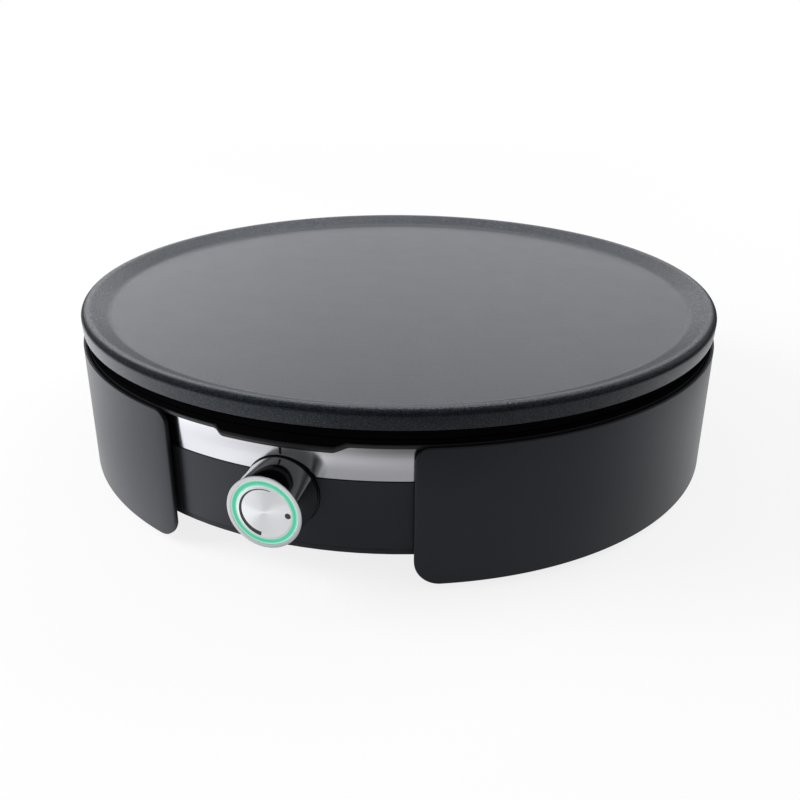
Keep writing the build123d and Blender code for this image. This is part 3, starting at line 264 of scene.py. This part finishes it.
# ------------------------------------------------------------------ baking plate
# Cast aluminium with a dark non-stick coating: flat baking surface, rounded rim with a
# sharp lower edge, undercut skirt, and underneath the rib that holds the element.

mm = 0.001


def rounded(corners, steps=7, closed=True):
    """Outline through corners (across, up, radius): at each corner that has a radius, an arc that touches
    both its sides takes the corner's place. The arc's middle lies on the line that halves the corner, at
    the radius over the sine of half the corner's angle."""
    outline = []
    count = len(corners)
    for i, (across, height, radius) in enumerate(corners):
        here = np.array((across, height), float)
        if radius == 0 or (not closed and i in (0, count - 1)):
            outline.append(here[None])
            continue
        back = np.array(corners[i - 1][:2]) - here
        on = np.array(corners[(i + 1) % count][:2]) - here
        back, on = back / np.linalg.norm(back), on / np.linalg.norm(on)
        half = 0.5 * math.acos(np.clip(back @ on, -1, 1))
        middle = here + (back + on) / np.linalg.norm(back + on) * radius / math.sin(half)
        first = here + back * radius / math.tan(half) - middle
        last = here + on * radius / math.tan(half) - middle
        sweep = math.pi - 2 * half
        t = np.linspace(0, 1, steps)[:, None]
        arc = (np.sin((1 - t) * sweep) * first + np.sin(t * sweep) * last) / math.sin(sweep)
        outline.append(middle + arc)
    return np.concatenate(outline)


def turned(profile, angles):
    """Grid of a profile (radius, height) carried round the upright axis: a point at an angle a from the
    front is (radius sin a, -radius cos a, height)."""
    radius, height = profile[:, 0, None], profile[:, 1, None]
    flat = np.ones_like(angles)
    return np.stack([radius * np.sin(angles), -radius * np.cos(angles), height * flat], -1)


def lattice(grid, rows_close=True, columns_close=True):
    """Points and four-sided faces of a grid, with its last row or column joined to the first where it
    closes."""
    number = np.arange(grid.shape[0] * grid.shape[1]).reshape(grid.shape[:2])
    if rows_close:
        number = np.concatenate([number, number[:1]])
    if columns_close:
        number = np.concatenate([number, number[:, :1]], 1)
    faces = np.stack([number[:-1, :-1], number[:-1, 1:], number[1:, 1:], number[1:, :-1]], -1)
    return grid.reshape(-1, 3), faces.reshape(-1, 4)


def piece(name, body, stands_for, material, lattices, crease=40):
    """One object from lattices in millimetres: poles merged, open ends closed, faces turned outwards."""
    all_points, all_faces = zip(*lattices)
    starts = np.cumsum([0] + [len(points) for points in all_points])
    points = np.concatenate(all_points) * mm
    faces = np.concatenate([faces + start for faces, start in zip(all_faces, starts)])
    mesh = bpy.data.meshes.new(name)
    mesh.from_pydata(points.tolist(), [], faces.tolist())
    form = bmesh.new()
    form.from_mesh(mesh)
    bmesh.ops.remove_doubles(form, verts=form.verts, dist=1e-7)
    bmesh.ops.holes_fill(form, edges=[edge for edge in form.edges if edge.is_boundary], sides=0)
    bmesh.ops.recalc_face_normals(form, faces=form.faces)
    form.to_mesh(mesh)
    form.free()
    mesh.shade_smooth()
    mesh.set_sharp_from_angle(angle=math.radians(crease))
    mesh.materials.append(material)
    made = bpy.data.objects.new(name, mesh)
    bpy.context.scene.collection.objects.link(made)
    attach(made, body)
    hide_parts(*stands_for)
    return made


def painted_shade_black(mottle, dark, pale):
    """Matt black without any gloss, faintly mottled, put as painted shade where a surface stands in shadow.
    """
    return mottle.node("ShaderNodeBsdfPrincipled", {}, {
        "Base Color": mottle.tint(dark, pale), "Roughness": 1.0, "Specular IOR Level": 0.0,
    })


def cast_coating(place):
    """Near-black blue enamel-like coat with a fine pebble grain that shows on top of the rim, is duller down
    its side and worn smooth on the flat. Pale flecks in its colour are partly painted sparkle, and the matt
    near-black skirt under the rim's lower edge is painted shade."""
    radius, height = place.part(0).reach_with(place.part(1)), place.part(2)

    # The first mask rises from the flat to the crest, the second from the crest down the outer round.
    rim = radius.rise(0.155, 0.168)
    side = radius.rise(0.1712, 0.1735) * (1 - height.rise(0.0852, 0.0877))
    pebbles = place.speckle(1900, 1.0)
    clouds = place.speckle(60, 3.0)
    # Pale flecks in the colour, densest on top of the rim and fewer down its side, are partly flakes in the
    # coat and partly painted sparkle where the rim catches the light.
    flecks_and_sparkle = (rim - 0.6 * side) * place.speckle(1900, 0.0).rise(0.55, 0.75)
    coat = (0.6 * pebbles + 0.4 * clouds).tint(shade(5, 7, 10), shade(15, 18, 23))
    colour = flecks_and_sparkle.tint(coat, shade(34, 38, 46))
    skins = [
        place.node("ShaderNodeBsdfPrincipled", {}, {
            "Base Color": colour, "Roughness": 0.31 + 0.05 * clouds - 0.1 * flecks_and_sparkle,
            "Specular IOR Level": glossiness, "Specular Tint": (0.84, 0.92, 1.0, 1.0),
            "Normal": (pebbles * (0.3 + 0.8 * rim - 0.7 * side)).bump(0.0001),
        })
        for glossiness in (0.35, 1.0)
    ]
    grain = (0.2 + 1.1 * rim - 0.85 * side) * (pebbles.rise(0.36, 0.66) - 0.5)
    mottled = 0.5 - 0.25 * side + grain
    gloss = place.node("ShaderNodeMixShader", {}, {0: mottled, 1: skins[0], 2: skins[1]})
    # The matt near-black skirt below the rim's lower edge is painted shade.
    painted_shade_skirt = painted_shade_black(clouds, shade(4, 4, 5), shade(8, 8, 9))
    return place.node("ShaderNodeMixShader", {}, {0: height.rise(0.0778, 0.0783), 1: painted_shade_skirt, 2: gloss})


coating = finish("cast_coating", cast_coating)

flat_radius, crest_radius, rim_corner, rim_foot = 160.7, 170.2, 175.2, 174.6
skirt_outer, skirt_inner = 171.8, 167.8
rim_top, baking_level, rim_edge, plate_under = 88, 83.4, 78.4, 76.4
skirt_edge, groove_roof, rib_edge = 73.2, 73.0, 69.4
rib_inner, rib_outer, groove_inner, groove_outer = 102.85, 117.15, 105.85, 114.15
plate_profile = rounded([
    (0, baking_level, 0), (flat_radius, baking_level, 8), (crest_radius, rim_top, 5),
    (rim_corner, rim_top, 3.2), (rim_foot, rim_edge, 0.35), (skirt_outer, rim_edge, 0.8),
    (skirt_outer, skirt_edge, 0.6), (skirt_inner, skirt_edge, 0.6), (skirt_inner, plate_under, 1.5),
    (rib_outer, plate_under, 0), (rib_outer, rib_edge, 0.8), (groove_outer, rib_edge, 0),
    (groove_outer, groove_roof, 0), (groove_inner, groove_roof, 0), (groove_inner, rib_edge, 0),
    (rib_inner, rib_edge, 0.8), (rib_inner, plate_under, 0), (0, plate_under, 0),
], 9)
around = np.linspace(0, 2 * np.pi, 512, endpoint=False)
plate_grid = turned(plate_profile, around)

# The rib has a gap at the rear, where the element's ends turn down.
rib_gap_half = 38
in_gap = (np.abs(plate_grid[..., 0]) < rib_gap_half) & (plate_grid[..., 1] > 0)
on_rib = (plate_profile[:, 0] < 125)[:, None] & (plate_grid[..., 2] < plate_under)
plate_grid[..., 2] = np.where(in_gap & on_rib, plate_under, plate_grid[..., 2])
piece("plate", "appliance", ["baking_plate"], coating, [lattice(plate_grid)])

# ------------------------------------------------------------------ collar
# Black moulded ring under the plate. Its lip steps down over the knob in a shallow tab
# with a soft S at each end. Screwed to the body's spigot.


def moulded(name, dark, pale, rough, grain=2200, depth=0.00003):
    """Moulded plastic: a fine spark-eroded grain, slightly uneven gloss and faint flow shading."""

    def surface(place):
        fine = place.speckle(grain, 2.0)
        drift = place.speckle(25, 2.0)
        colour = (0.35 * fine + 0.65 * drift).tint(dark, pale)
        return place.node("ShaderNodeBsdfPrincipled", {}, {
            "Base Color": colour, "Roughness": rough + 0.08 * (drift - 0.5) + 0.06 * (fine - 0.5),
            "Specular IOR Level": 0.4, "Specular Tint": (0.84, 0.91, 1.0, 1.0), "Normal": fine.bump(depth),
        })

    return finish(name, surface)


def collar_moulding(place):
    """Satin black lip under a dull black wall. The wall and the top of the lip are painted shade, matt black
    where the plate's rim shades them.
    """
    fine, drift = place.speckle(2200, 2.0), place.speckle(25, 2.0)
    radius = place.part(0).reach_with(place.part(1))
    colour = (0.35 * fine + 0.65 * drift).tint(shade(18, 18, 20), shade(28, 28, 31))
    satin = place.node("ShaderNodeBsdfPrincipled", {}, {
        "Base Color": colour, "Roughness": 0.32 + 0.06 * drift, "Specular IOR Level": 0.45,
        "Normal": fine.bump(0.00003),
    })
    # The wall above the lip and the lip's top are painted shade: matt black where the plate's rim shades
    # them.
    wall = painted_shade_black(drift, shade(4, 4, 5), shade(8, 8, 9))
    on_lip = radius.rise(0.1719, 0.1722) * (1 - place.part(2).rise(0.0709, 0.0711))
    return place.node("ShaderNodeMixShader", {}, {0: on_lip, 1: wall, 2: satin})


collar_inner, lip_inner, collar_wall, lip_radius = 157, 171.3, 171.9, 172.9
lip_low, collar_under, lip_high, collar_top = 69, 70.8, 71.6, 72.8
collar_profile = rounded([
    (collar_inner, collar_under, 0), (lip_inner, collar_under, 0), (lip_inner, lip_low, 0),
    (lip_radius, lip_low, 0.5), (lip_radius, 71.0, 0.8), (collar_wall, lip_high, 0.2),
    (collar_wall, collar_top, 0.2), (collar_inner, collar_top, 0),
], 5)

# The tab's lower edge, as (across, drop): an S at each end, the right one longer and gentler.
tab_drop = 3.1
tab_edge = rounded([
    (-60, 0, 0), (-30.4, 0, 3), (-28.2, -tab_drop, 3), (24.2, -tab_drop, 5), (30.8, 0, 5), (60, 0, 0)
], 12, closed=False)
tab_columns = np.arcsin(np.linspace(18, 36, 70) / lip_radius)
collar_angles = np.unique(np.concatenate([np.linspace(-np.pi, np.pi, 361)[:-1], tab_columns, -tab_columns]))
collar_grid = turned(collar_profile, collar_angles)
lip_drop = np.interp(collar_grid[..., 0], tab_edge[:, 0], tab_edge[:, 1]) * (collar_grid[..., 1] < 0)
lip_rows = (collar_profile[:, 0] >= lip_inner) & (collar_profile[:, 1] < lip_high + 0.1)
lip_rows &= collar_profile[:, 1] != collar_under
collar_grid[..., 2] += np.where(lip_rows[:, None], lip_drop, 0)
piece(
    "collar_ring", "appliance", ["collar"],
    finish("collar_moulding", collar_moulding), [lattice(collar_grid)],
)

# ------------------------------------------------------------------ steel band
# Thin strip of stainless steel, brushed along its length and rolled round the spigot,
# with a black index mark printed over the knob. Its ends meet at the rear.


def brushed_band(place):
    """Steel with long faint scratches along the strip and a printed mark at the front."""
    across, away, level = place.part(0), place.part(1), place.part(2)
    turn = across.math("ARCTAN2", across, away)

    def brush_lines(along, crosswise, detail):
        """Noise with so many grains to a radian along the strip and to a metre across it."""
        lay = place.node("ShaderNodeCombineXYZ", {}, {"X": turn * along, "Y": level * crosswise})
        return place.node("ShaderNodeTexNoise", {}, {"Vector": lay, "Scale": 9.0, "Detail": detail})

    scratches, hair = brush_lines(0.9, 160, 6.0), brush_lines(6, 900, 3.0)
    beside = abs(across).rise(0.00062, 0.00078)
    mark = (1 - beside) * level.rise(0.0617, 0.0619) * (-away).rise(0, 0.01)
    steel = (0.5 * scratches + 0.5 * hair).tint(shade(208, 208, 212), shade(226, 226, 230))
    return place.node("ShaderNodeBsdfPrincipled", {}, {
        "Base Color": mark.tint(steel, shade(18, 18, 20)), "Metallic": 1 - mark,
        "Roughness": 0.12 + 0.07 * scratches + 0.03 * hair, "Anisotropic": 0.6, "Anisotropic Rotation": 0.25,
        "Normal": (scratches + 0.6 * hair).bump(0.000006),
    })


band_inner, band_outer, band_low, band_high = 170.2, 171, 52.9, 70.6
band_profile = rounded([
    (band_inner, band_low, 0), (band_outer, band_low, 0.15), (band_outer, band_high, 0.15),
    (band_inner, band_high, 0),
], 4)
half_split = 0.25 / band_outer
band_angles = np.linspace(-np.pi + half_split, np.pi - half_split, 481)
piece(
    "band", "appliance", ["steel_band"], finish("brushed_band", brushed_band),
    [lattice(turned(band_profile, band_angles), columns_close=False)],
)

# ------------------------------------------------------------------ body
# Satin black plastic drum that carries the collar, band and panels, moulded in one shot,
# and the base plate that is screwed on from below with a thin seam.

body_plastic = moulded("body_plastic", shade(22, 22, 26), shade(30, 30, 35), 0.32)
base_plastic = moulded("base_plastic", shade(24, 25, 27), shade(31, 32, 35), 0.5, 1600, 0.00005)


def dress(material, *names):
    """Gives a material to CAD nodes that stay as they are."""
    for name in names:
        for material_slot in nodes[name].material_slots:
            material_slot.material = material


dress(body_plastic, "body_shell")
dress(base_plastic, "base_plate")

# ------------------------------------------------------------------ side panels
# Curved skirts of painted plastic that stand off the body on pegs, with rounded corners
# and softly broken edges.


def satin_paint(place):
    """Dark satin lacquer with a very fine metal-like flake and orange peel, over bare black inside."""
    flake = place.speckle(3000, 1.0)
    peel = place.speckle(500, 2.0)
    radius = place.part(0).reach_with(place.part(1))
    painted = radius.rise(0.1744, 0.1750)
    colour = painted.tint(shade(6, 6, 7), flake.tint(shade(19, 19, 23), shade(28, 29, 34)))
    return place.node("ShaderNodeBsdfPrincipled", {}, {
        "Base Color": colour,
        "Roughness": 0.7 - 0.3 * painted + 0.06 * (flake - 0.5) + 0.05 * (peel - 0.5),
        "Specular Tint": (0.85, 0.91, 1.0, 1.0), "Normal": (0.7 * peel + 0.3 * flake).bump(0.00002),
    })


panel_radius, panel_wall, panel_edge = 175.5, 2.2, 0.6
panel_low, panel_high, low_corner, high_corner = 3.4, 70.6, 12.0, 7.0
panel_start = math.radians(19.4)
panel_half = panel_radius * (math.pi / 2 - panel_start)


def corner_cut(distance, radius):
    """How far a round corner takes the edge in, at a distance from the panel's end: the radius less the
    root of its square less the square of what is left of the radius there."""
    left = np.clip(radius - distance, 0, radius)
    return radius - np.sqrt(np.maximum(radius ** 2 - left ** 2, 0))


def panel_grid():
    """A section (radius, height) of the wall with broken edges, whose ends shrink with the round corners,
    carried along the arc: after a run from the panel's end its angle is the start plus run over radius."""
    ease = 1 - np.cos(np.linspace(0, np.pi / 2, 30))
    near_end = np.unique(np.round(np.concatenate([ease * low_corner, ease[::3] * panel_edge]), 5))
    middle = np.linspace(low_corner, 2 * panel_half - low_corner, 130)[1:-1]
    run = np.concatenate([near_end, middle, 2 * panel_half - near_end[::-1]])
    to_end = np.minimum(run, 2 * panel_half - run)
    low = panel_low + corner_cut(to_end, low_corner)
    high = panel_high - corner_cut(to_end, high_corner)
    thin = corner_cut(to_end, panel_edge)
    bend = np.linspace(0, np.pi / 2, 6)
    outer, inner = (panel_radius - thin)[None], (panel_radius - panel_wall + thin)[None]
    side_step = (panel_edge * (1 - np.sin(bend)))[:, None]
    end_step = (panel_edge * (1 - np.cos(bend)))[:, None]
    radius = np.concatenate([
        outer - side_step, outer - side_step[::-1], inner + side_step, inner + side_step[::-1],
    ])
    height = np.concatenate([low + end_step, high - end_step[::-1], high - end_step, low + end_step[::-1]])
    angle = panel_start + run / panel_radius
    return np.stack([radius * np.sin(angle), -radius * np.cos(angle), height], -1)


def outward_post(azimuth, height, profile, side):
    """Grid of a profile (radius, distance from the middle) carried round an axis that points outwards: a
    point at a turn t is radius (cos t across, sin t up) plus the distance outwards plus the height."""
    a = math.radians(azimuth)
    turn = np.linspace(0, 2 * np.pi, 28, endpoint=False)
    along = np.array((side * math.sin(a), -math.cos(a), 0))
    across = np.array((side * math.cos(a), math.sin(a), 0))
    radius, distance = profile[:, 0, None, None], profile[:, 1, None, None]
    ring = np.cos(turn)[None, :, None] * across + np.sin(turn)[None, :, None] * np.array((0, 0, 1.0))
    return radius * ring + distance * along + np.array((0, 0, height))


paint = finish("satin_paint", satin_paint)
peg_azimuths, peg_levels = (35, 90, 145), (28.2, 41.2)
peg_tip, peg_shoulder, peg_root = 168.1, 171.3, 174.2
peg_radius, shoulder_radius = 4, 6
peg_profile = rounded([
    (0, peg_tip, 0), (peg_radius, peg_tip, 0.3), (peg_radius, peg_shoulder, 0),
    (shoulder_radius, peg_shoulder, 0.2), (shoulder_radius, peg_root, 0), (0, peg_root, 0),
], 4)
for side, word in ((1, "right"), (-1, "left")):
    wall = panel_grid() * (side, 1, 1)
    pegs = [
        lattice(outward_post(azimuth, height, peg_profile, side), rows_close=False)
        for azimuth in peg_azimuths for height in peg_levels
    ]
    piece(
        f"panel_{word}", "appliance", [f"side_panel_{word}"], paint,
        [lattice(wall, columns_close=False), *pegs],
    )

# ------------------------------------------------------------------ knob seat
# Glossy black disc behind the knob, moulded in plastic. Its front and back follow the
# body's curve, and its hub goes through the body and guides the spindle.

knob_height = 43.8


def dial(profile, angles):
    """Grid of a profile (radius, distance in front of the middle) carried round the knob's axis: a point
    at an angle a is (radius cos a, -distance, knob height + radius sin a)."""
    radius, distance = profile[:, 0, None], profile[:, 1, None]
    flat = np.ones_like(angles)
    return np.stack([radius * np.cos(angles), -distance * flat, knob_height + radius * np.sin(angles)], -1)


def gloss_black(place):
    """Polished black moulding with faint wipe marks in its gloss. Its dull, dark rim is painted shade, the
    shadow gap round the seat.
    """
    wipes = place.speckle(90, 4.0, (1, 1, 3))
    radius = place.part(0).reach_with(place.part(2) - knob_height * mm)
    gloss = place.node("ShaderNodeBsdfPrincipled", {}, {
        "Base Color": wipes.tint(shade(20, 20, 23), shade(26, 26, 29)), "Roughness": 0.18 + 0.12 * wipes,
        "Normal": place.speckle(300, 2.0).bump(0.00001),
    })
    # The matt black rim is painted shade standing for the shadow gap round the seat.
    rim = painted_shade_black(wipes, shade(2, 2, 2), shade(4, 4, 4))
    return place.node("ShaderNodeMixShader", {}, {0: radius.rise(0.01705, 0.01712), 1: gloss, 2: rim})


dial_angles = np.linspace(0, 2 * np.pi, 240, endpoint=False)
seat_front, seat_back, hub_shoulder, hub_end = 171.9, 170.4, 164.6, 160
seat_radius, hub_radius, hub_neck, seat_bore = 17.4, 5.9, 5.0, 3.05
seat_profile = rounded([
    (seat_bore, hub_end, 0), (seat_bore, seat_front, 0.2), (10, seat_front, 0), (15, seat_front, 0),
    (seat_radius, seat_front, 0.2), (seat_radius, seat_back, 0), (hub_radius, seat_back, 0),
    (hub_radius, hub_shoulder, 0), (hub_neck, hub_shoulder, 0), (hub_neck, hub_end, 0),
], 5)
seat_grid = dial(seat_profile, dial_angles)

# Both sides of the disc follow the body's curve, the back just within it and the front just proud.
body_radius, seat_offset = 171, 0.3
on_body = -np.sqrt(body_radius ** 2 - seat_grid[..., 0] ** 2)
curved_front = seat_grid[..., 1] + on_body + (seat_front - seat_offset)
on_back, on_front = seat_profile[:, 1, None] == seat_back, seat_profile[:, 1, None] > seat_front - 0.5
seat_grid[..., 1] = np.where(on_back, on_body + seat_offset, seat_grid[..., 1])
seat_grid[..., 1] = np.where(on_front, curved_front, seat_grid[..., 1])
piece(
    "seat", "appliance", ["knob_seat"], finish("gloss_black", gloss_black),
    [lattice(seat_grid)],
)

# ------------------------------------------------------------------ knob sleeve
# Thin polished aluminium tube, open at both ends and turned with a narrow brushed front
# rim. It is glued over the light guide.


def polished_metal(place):
    """Mirror-like turned metal with hair lines round it and a brushed front rim."""
    depth = place.part(1)
    lines = place.node(
        "ShaderNodeTexNoise", {"noise_dimensions": "1D"}, {"W": depth, "Scale": 9000.0, "Detail": 2.0}
    )
    smudge = place.speckle(120, 3.0)
    front = (-depth).rise(0.18955, 0.1897)
    polish = (0.5 * lines + 0.5 * smudge).tint(shade(206, 207, 209), shade(226, 227, 229))
    return place.node("ShaderNodeBsdfPrincipled", {}, {
        "Base Color": front.tint(polish, shade(222, 223, 225)),
        "Metallic": 1.0, "Roughness": 0.07 + 0.05 * smudge + 0.25 * front,
    })


sleeve_inner, sleeve_outer, sleeve_back, sleeve_front = 15.3, 17, 172.2, 190
sleeve_profile = rounded([
    (sleeve_inner, sleeve_back, 0.2), (sleeve_outer, sleeve_back, 0.3),
    (sleeve_outer, sleeve_front, 0.2), (sleeve_inner, sleeve_front, 0.12),
], 6)
piece(
    "sleeve", "knob", ["knob_sleeve"], finish("polished_metal", polished_metal),
    [lattice(dial(sleeve_profile, dial_angles))],
)

# ------------------------------------------------------------------ light ring
# Milky acrylic ring, moulded and pressed into the sleeve's mouth round the face. It glows
# green, palest along its inner and outer edges.

ring_inner, ring_middle, ring_outer, ring_back, ring_front = 12.75, 13.8, 15.15, 186.5, 189.8


def lit_diffuser(place):
    """Green light that pales towards both edges of the ring, with a faint even mottle."""
    radius = place.part(0).reach_with(place.part(2) - knob_height * mm) / mm
    middle = 1 - abs(radius - ring_middle).rise(0.4, 1.6)
    mottle = place.speckle(160, 2.0)
    green = mottle.tint(shade(80, 200, 158), shade(94, 214, 174))
    return place.node("ShaderNodeBsdfPrincipled", {}, {
        "Base Color": middle.tint(shade(120, 128, 125), shade(20, 60, 46)), "Roughness": 0.5,
        "Specular IOR Level": 0.2, "Emission Color": middle.tint(shade(206, 232, 224), green),
        "Emission Strength": 0.85,
    })


ring_profile = rounded([
    (ring_inner, ring_back, 0), (ring_inner, ring_front, 0.2), (ring_outer, ring_front, 0.2),
    (ring_outer, ring_back, 0.15),
], 5)
piece(
    "ring", "knob", ["knob_light_ring"], finish("lit_diffuser", lit_diffuser),
    [lattice(dial(ring_profile, dial_angles))],
)

# ------------------------------------------------------------------ knob face
# Aluminium disc turned with fine concentric grooves. A tapered arc and a dot printed
# in dark grey show the heat, from its thin end, low, to its thick end, high.

face_front, face_back, face_radius = 189.8, 188.5, 12.6
arc_radius, dot_reach = 10.85, 10.75


def spun_face(place):
    """Bright turned metal with the printed arc and dot. The arc is a mask by angle and by distance from
    its radius, with a width that grows along it, and the dot is a mask by distance from its middle."""
    across, height = place.part(0) / mm, (place.part(2) - knob_height * mm) / mm
    radius = across.reach_with(height)
    angle = across.math("ARCTAN2", height, -across)
    thin, thick = math.radians(108), math.radians(-80.5)
    along = (thin - angle) / (thin - thick)
    half_width = 0.14 + 0.95 * along.rise(-0.3, 1.2) ** 1.4
    band = (half_width - abs(radius - arc_radius)).rise(-0.06, 0.06)
    arc = band * angle.rise(thick - 0.006, thick + 0.006) * (1 - angle.rise(thin - 0.004, thin + 0.004))
    from_dot = (across - dot_reach) * (across - dot_reach) + height * height
    dot = 1 - from_dot.rise(1.25 ** 2, 1.45 ** 2)
    ink = arc.math("MAXIMUM", arc, dot)
    sheen = place.speckle(200, 2.0)
    return place.node("ShaderNodeBsdfPrincipled", {}, {
        "Base Color": ink.tint(sheen.tint(shade(249, 251, 253), shade(254, 255, 255)), shade(52, 54, 57)),
        "Metallic": 1 - ink, "Roughness": 0.24 + 0.3 * ink,
    })


groove_pitch, groove_depth = 0.25, 0.024
crests = np.arange(0.4, 12.2, groove_pitch)
grooves = np.stack([
    np.concatenate([crests, crests + groove_pitch / 2]),
    np.concatenate([np.full_like(crests, face_front), np.full_like(crests, face_front - groove_depth)]),
], -1)
grooves = grooves[np.argsort(grooves[:, 0])]
face_edge = rounded([
    (12.3, face_front, 0), (face_radius, face_front, 0.12), (face_radius, face_back, 0), (0, face_back, 0),
], 4)
face_profile = np.concatenate([[(0, face_front)], grooves, face_edge])
piece(
    "face", "knob", ["knob_face"], finish("spun_face", spun_face),
    [lattice(dial(face_profile, dial_angles), rows_close=False)], crease=12,
)

# ------------------------------------------------------------------ inside the knob
# Black core on the flatted spindle, held by a spring clip, inside a clear guide that
# carries the light forward from the lamps on the board.


def clear_guide(place):
    """Clear acrylic with a slightly frosted bloom."""
    bloom = place.speckle(400, 2.0)
    return place.node("ShaderNodeBsdfPrincipled", {}, {
        "Base Color": bloom.tint(shade(226, 236, 232), shade(240, 246, 244)),
        "Roughness": 0.12 + 0.2 * bloom, "Transmission Weight": 0.8, "IOR": 1.49,
    })


def plain_metal(name, dark, pale, rough):
    """Zinc-plated or bare sheet metal with a faint crystalline mottle."""

    def surface(place):
        grain = place.speckle(700, 3.0)
        return place.node("ShaderNodeBsdfPrincipled", {}, {
            "Base Color": grain.tint(dark, pale), "Metallic": 1.0, "Roughness": rough + 0.14 * grain,
            "Normal": grain.bump(0.00002),
        })

    return finish(name, surface)


stainless = plain_metal("stainless_steel", shade(168, 168, 170), shade(204, 204, 206), 0.22)
dress(finish("clear_guide", clear_guide), "knob_light_guide")
black_plastic = moulded("black_plastic", shade(18, 19, 21), shade(26, 27, 29), 0.4)
dress(black_plastic, "knob_core")
dress(stainless, "knob_clip", "spindle", "setting_plunger", "capillary_tube", "sensor_bulb")


def circuit_board(place):
    """Green solder mask over a faint weave, with paler tracks."""
    tracks = place.speckle(420, 0.0, (1, 1, 2)).rise(0.52, 0.54)
    return place.node("ShaderNodeBsdfPrincipled", {}, {
        "Base Color": tracks.tint(shade(20, 84, 52), shade(48, 120, 80)), "Roughness": 0.32,
        "Normal": tracks.bump(0.00003),
    })


def lamp_chip(place):
    """Small pale lamp body with a yellowish window."""
    window = place.speckle(900, 1.0)
    return place.node("ShaderNodeBsdfPrincipled", {}, {
        "Base Color": window.tint(shade(238, 232, 190), shade(250, 248, 238)),
        "Roughness": 0.3 + 0.1 * window,
    })


dress(finish("circuit_board", circuit_board), "light_board")
dress(finish("lamp_chip", lamp_chip), "lamps")

# ------------------------------------------------------------------ heating and control inside
# Steel tubular element in its groove, sheet-steel heat shield on ceramic spacers, thermostat
# on its bracket, thermal fuse and straps. All of it sits between the plate and the base.

shield_steel = plain_metal("shield_steel", shade(132, 134, 138), shade(176, 178, 182), 0.34)
element_metal = plain_metal("element_metal", shade(88, 84, 80), shade(126, 120, 112), 0.45)
brass = plain_metal("brass", shade(176, 146, 78), shade(206, 178, 106), 0.28)
copper = plain_metal("copper", shade(178, 108, 74), shade(210, 140, 102), 0.3)
ceramic = moulded("ceramic", shade(214, 208, 194), shade(232, 228, 216), 0.6, 900, 0.00004)
phenolic = moulded("phenolic", shade(58, 44, 36), shade(74, 56, 46), 0.42)
nylon = moulded("nylon", shade(206, 204, 194), shade(222, 220, 212), 0.5)
dress(shield_steel, "heat_shield", "thermostat_bracket")
dress(element_metal, "heating_element")
dress(ceramic, "element_bushes", "ceramic_spacers", "thermal_fuse")
dress(stainless, "element_terminals", "sensor_straps")
dress(brass, "contact_blades")
dress(copper, "earth_tab")
dress(phenolic, "thermostat_body")

# ------------------------------------------------------------------ screws and washers
# Cross-recessed pan heads of zinc-plated steel, driven into the plastic bosses and the cast
# plate, and plain washers under the panels' screws.

zinc = plain_metal("zinc_plate", shade(150, 152, 150), shade(190, 192, 188), 0.3)
dress(
    zinc, "plate_screws", "collar_screws", "base_screws", "panel_screws", "panel_washers",
    "bracket_screws", "strap_screws", "terminal_screws", "earth_screw", "clamp_screws",
)

# ------------------------------------------------------------------ feet, cord entry and wires
# Rubber pads under the four legs, an open bush at the rear with its clamp inside, the
# terminal block and the insulated wires.

rubber = moulded("rubber", shade(30, 30, 31), shade(42, 42, 43), 0.78, 1100, 0.00006)
dress(rubber, "rubber_feet")
dress(black_plastic, "cord_bush")
dress(nylon, "cord_clamp", "terminal_block")
for node, colour in (
    ("live_wire", (118, 68, 40)), ("switched_wire", (118, 68, 40)), ("element_wire", (226, 222, 212)),
    ("neutral_wire", (44, 88, 150)), ("earth_wire", (96, 140, 52)), ("light_lead", (226, 222, 212)),
):
    deep = shade(*(0.85 * part for part in colour))
    dress(moulded(f"sleeving_{node}", deep, shade(*colour), 0.45, 1500, 0.00002), node)
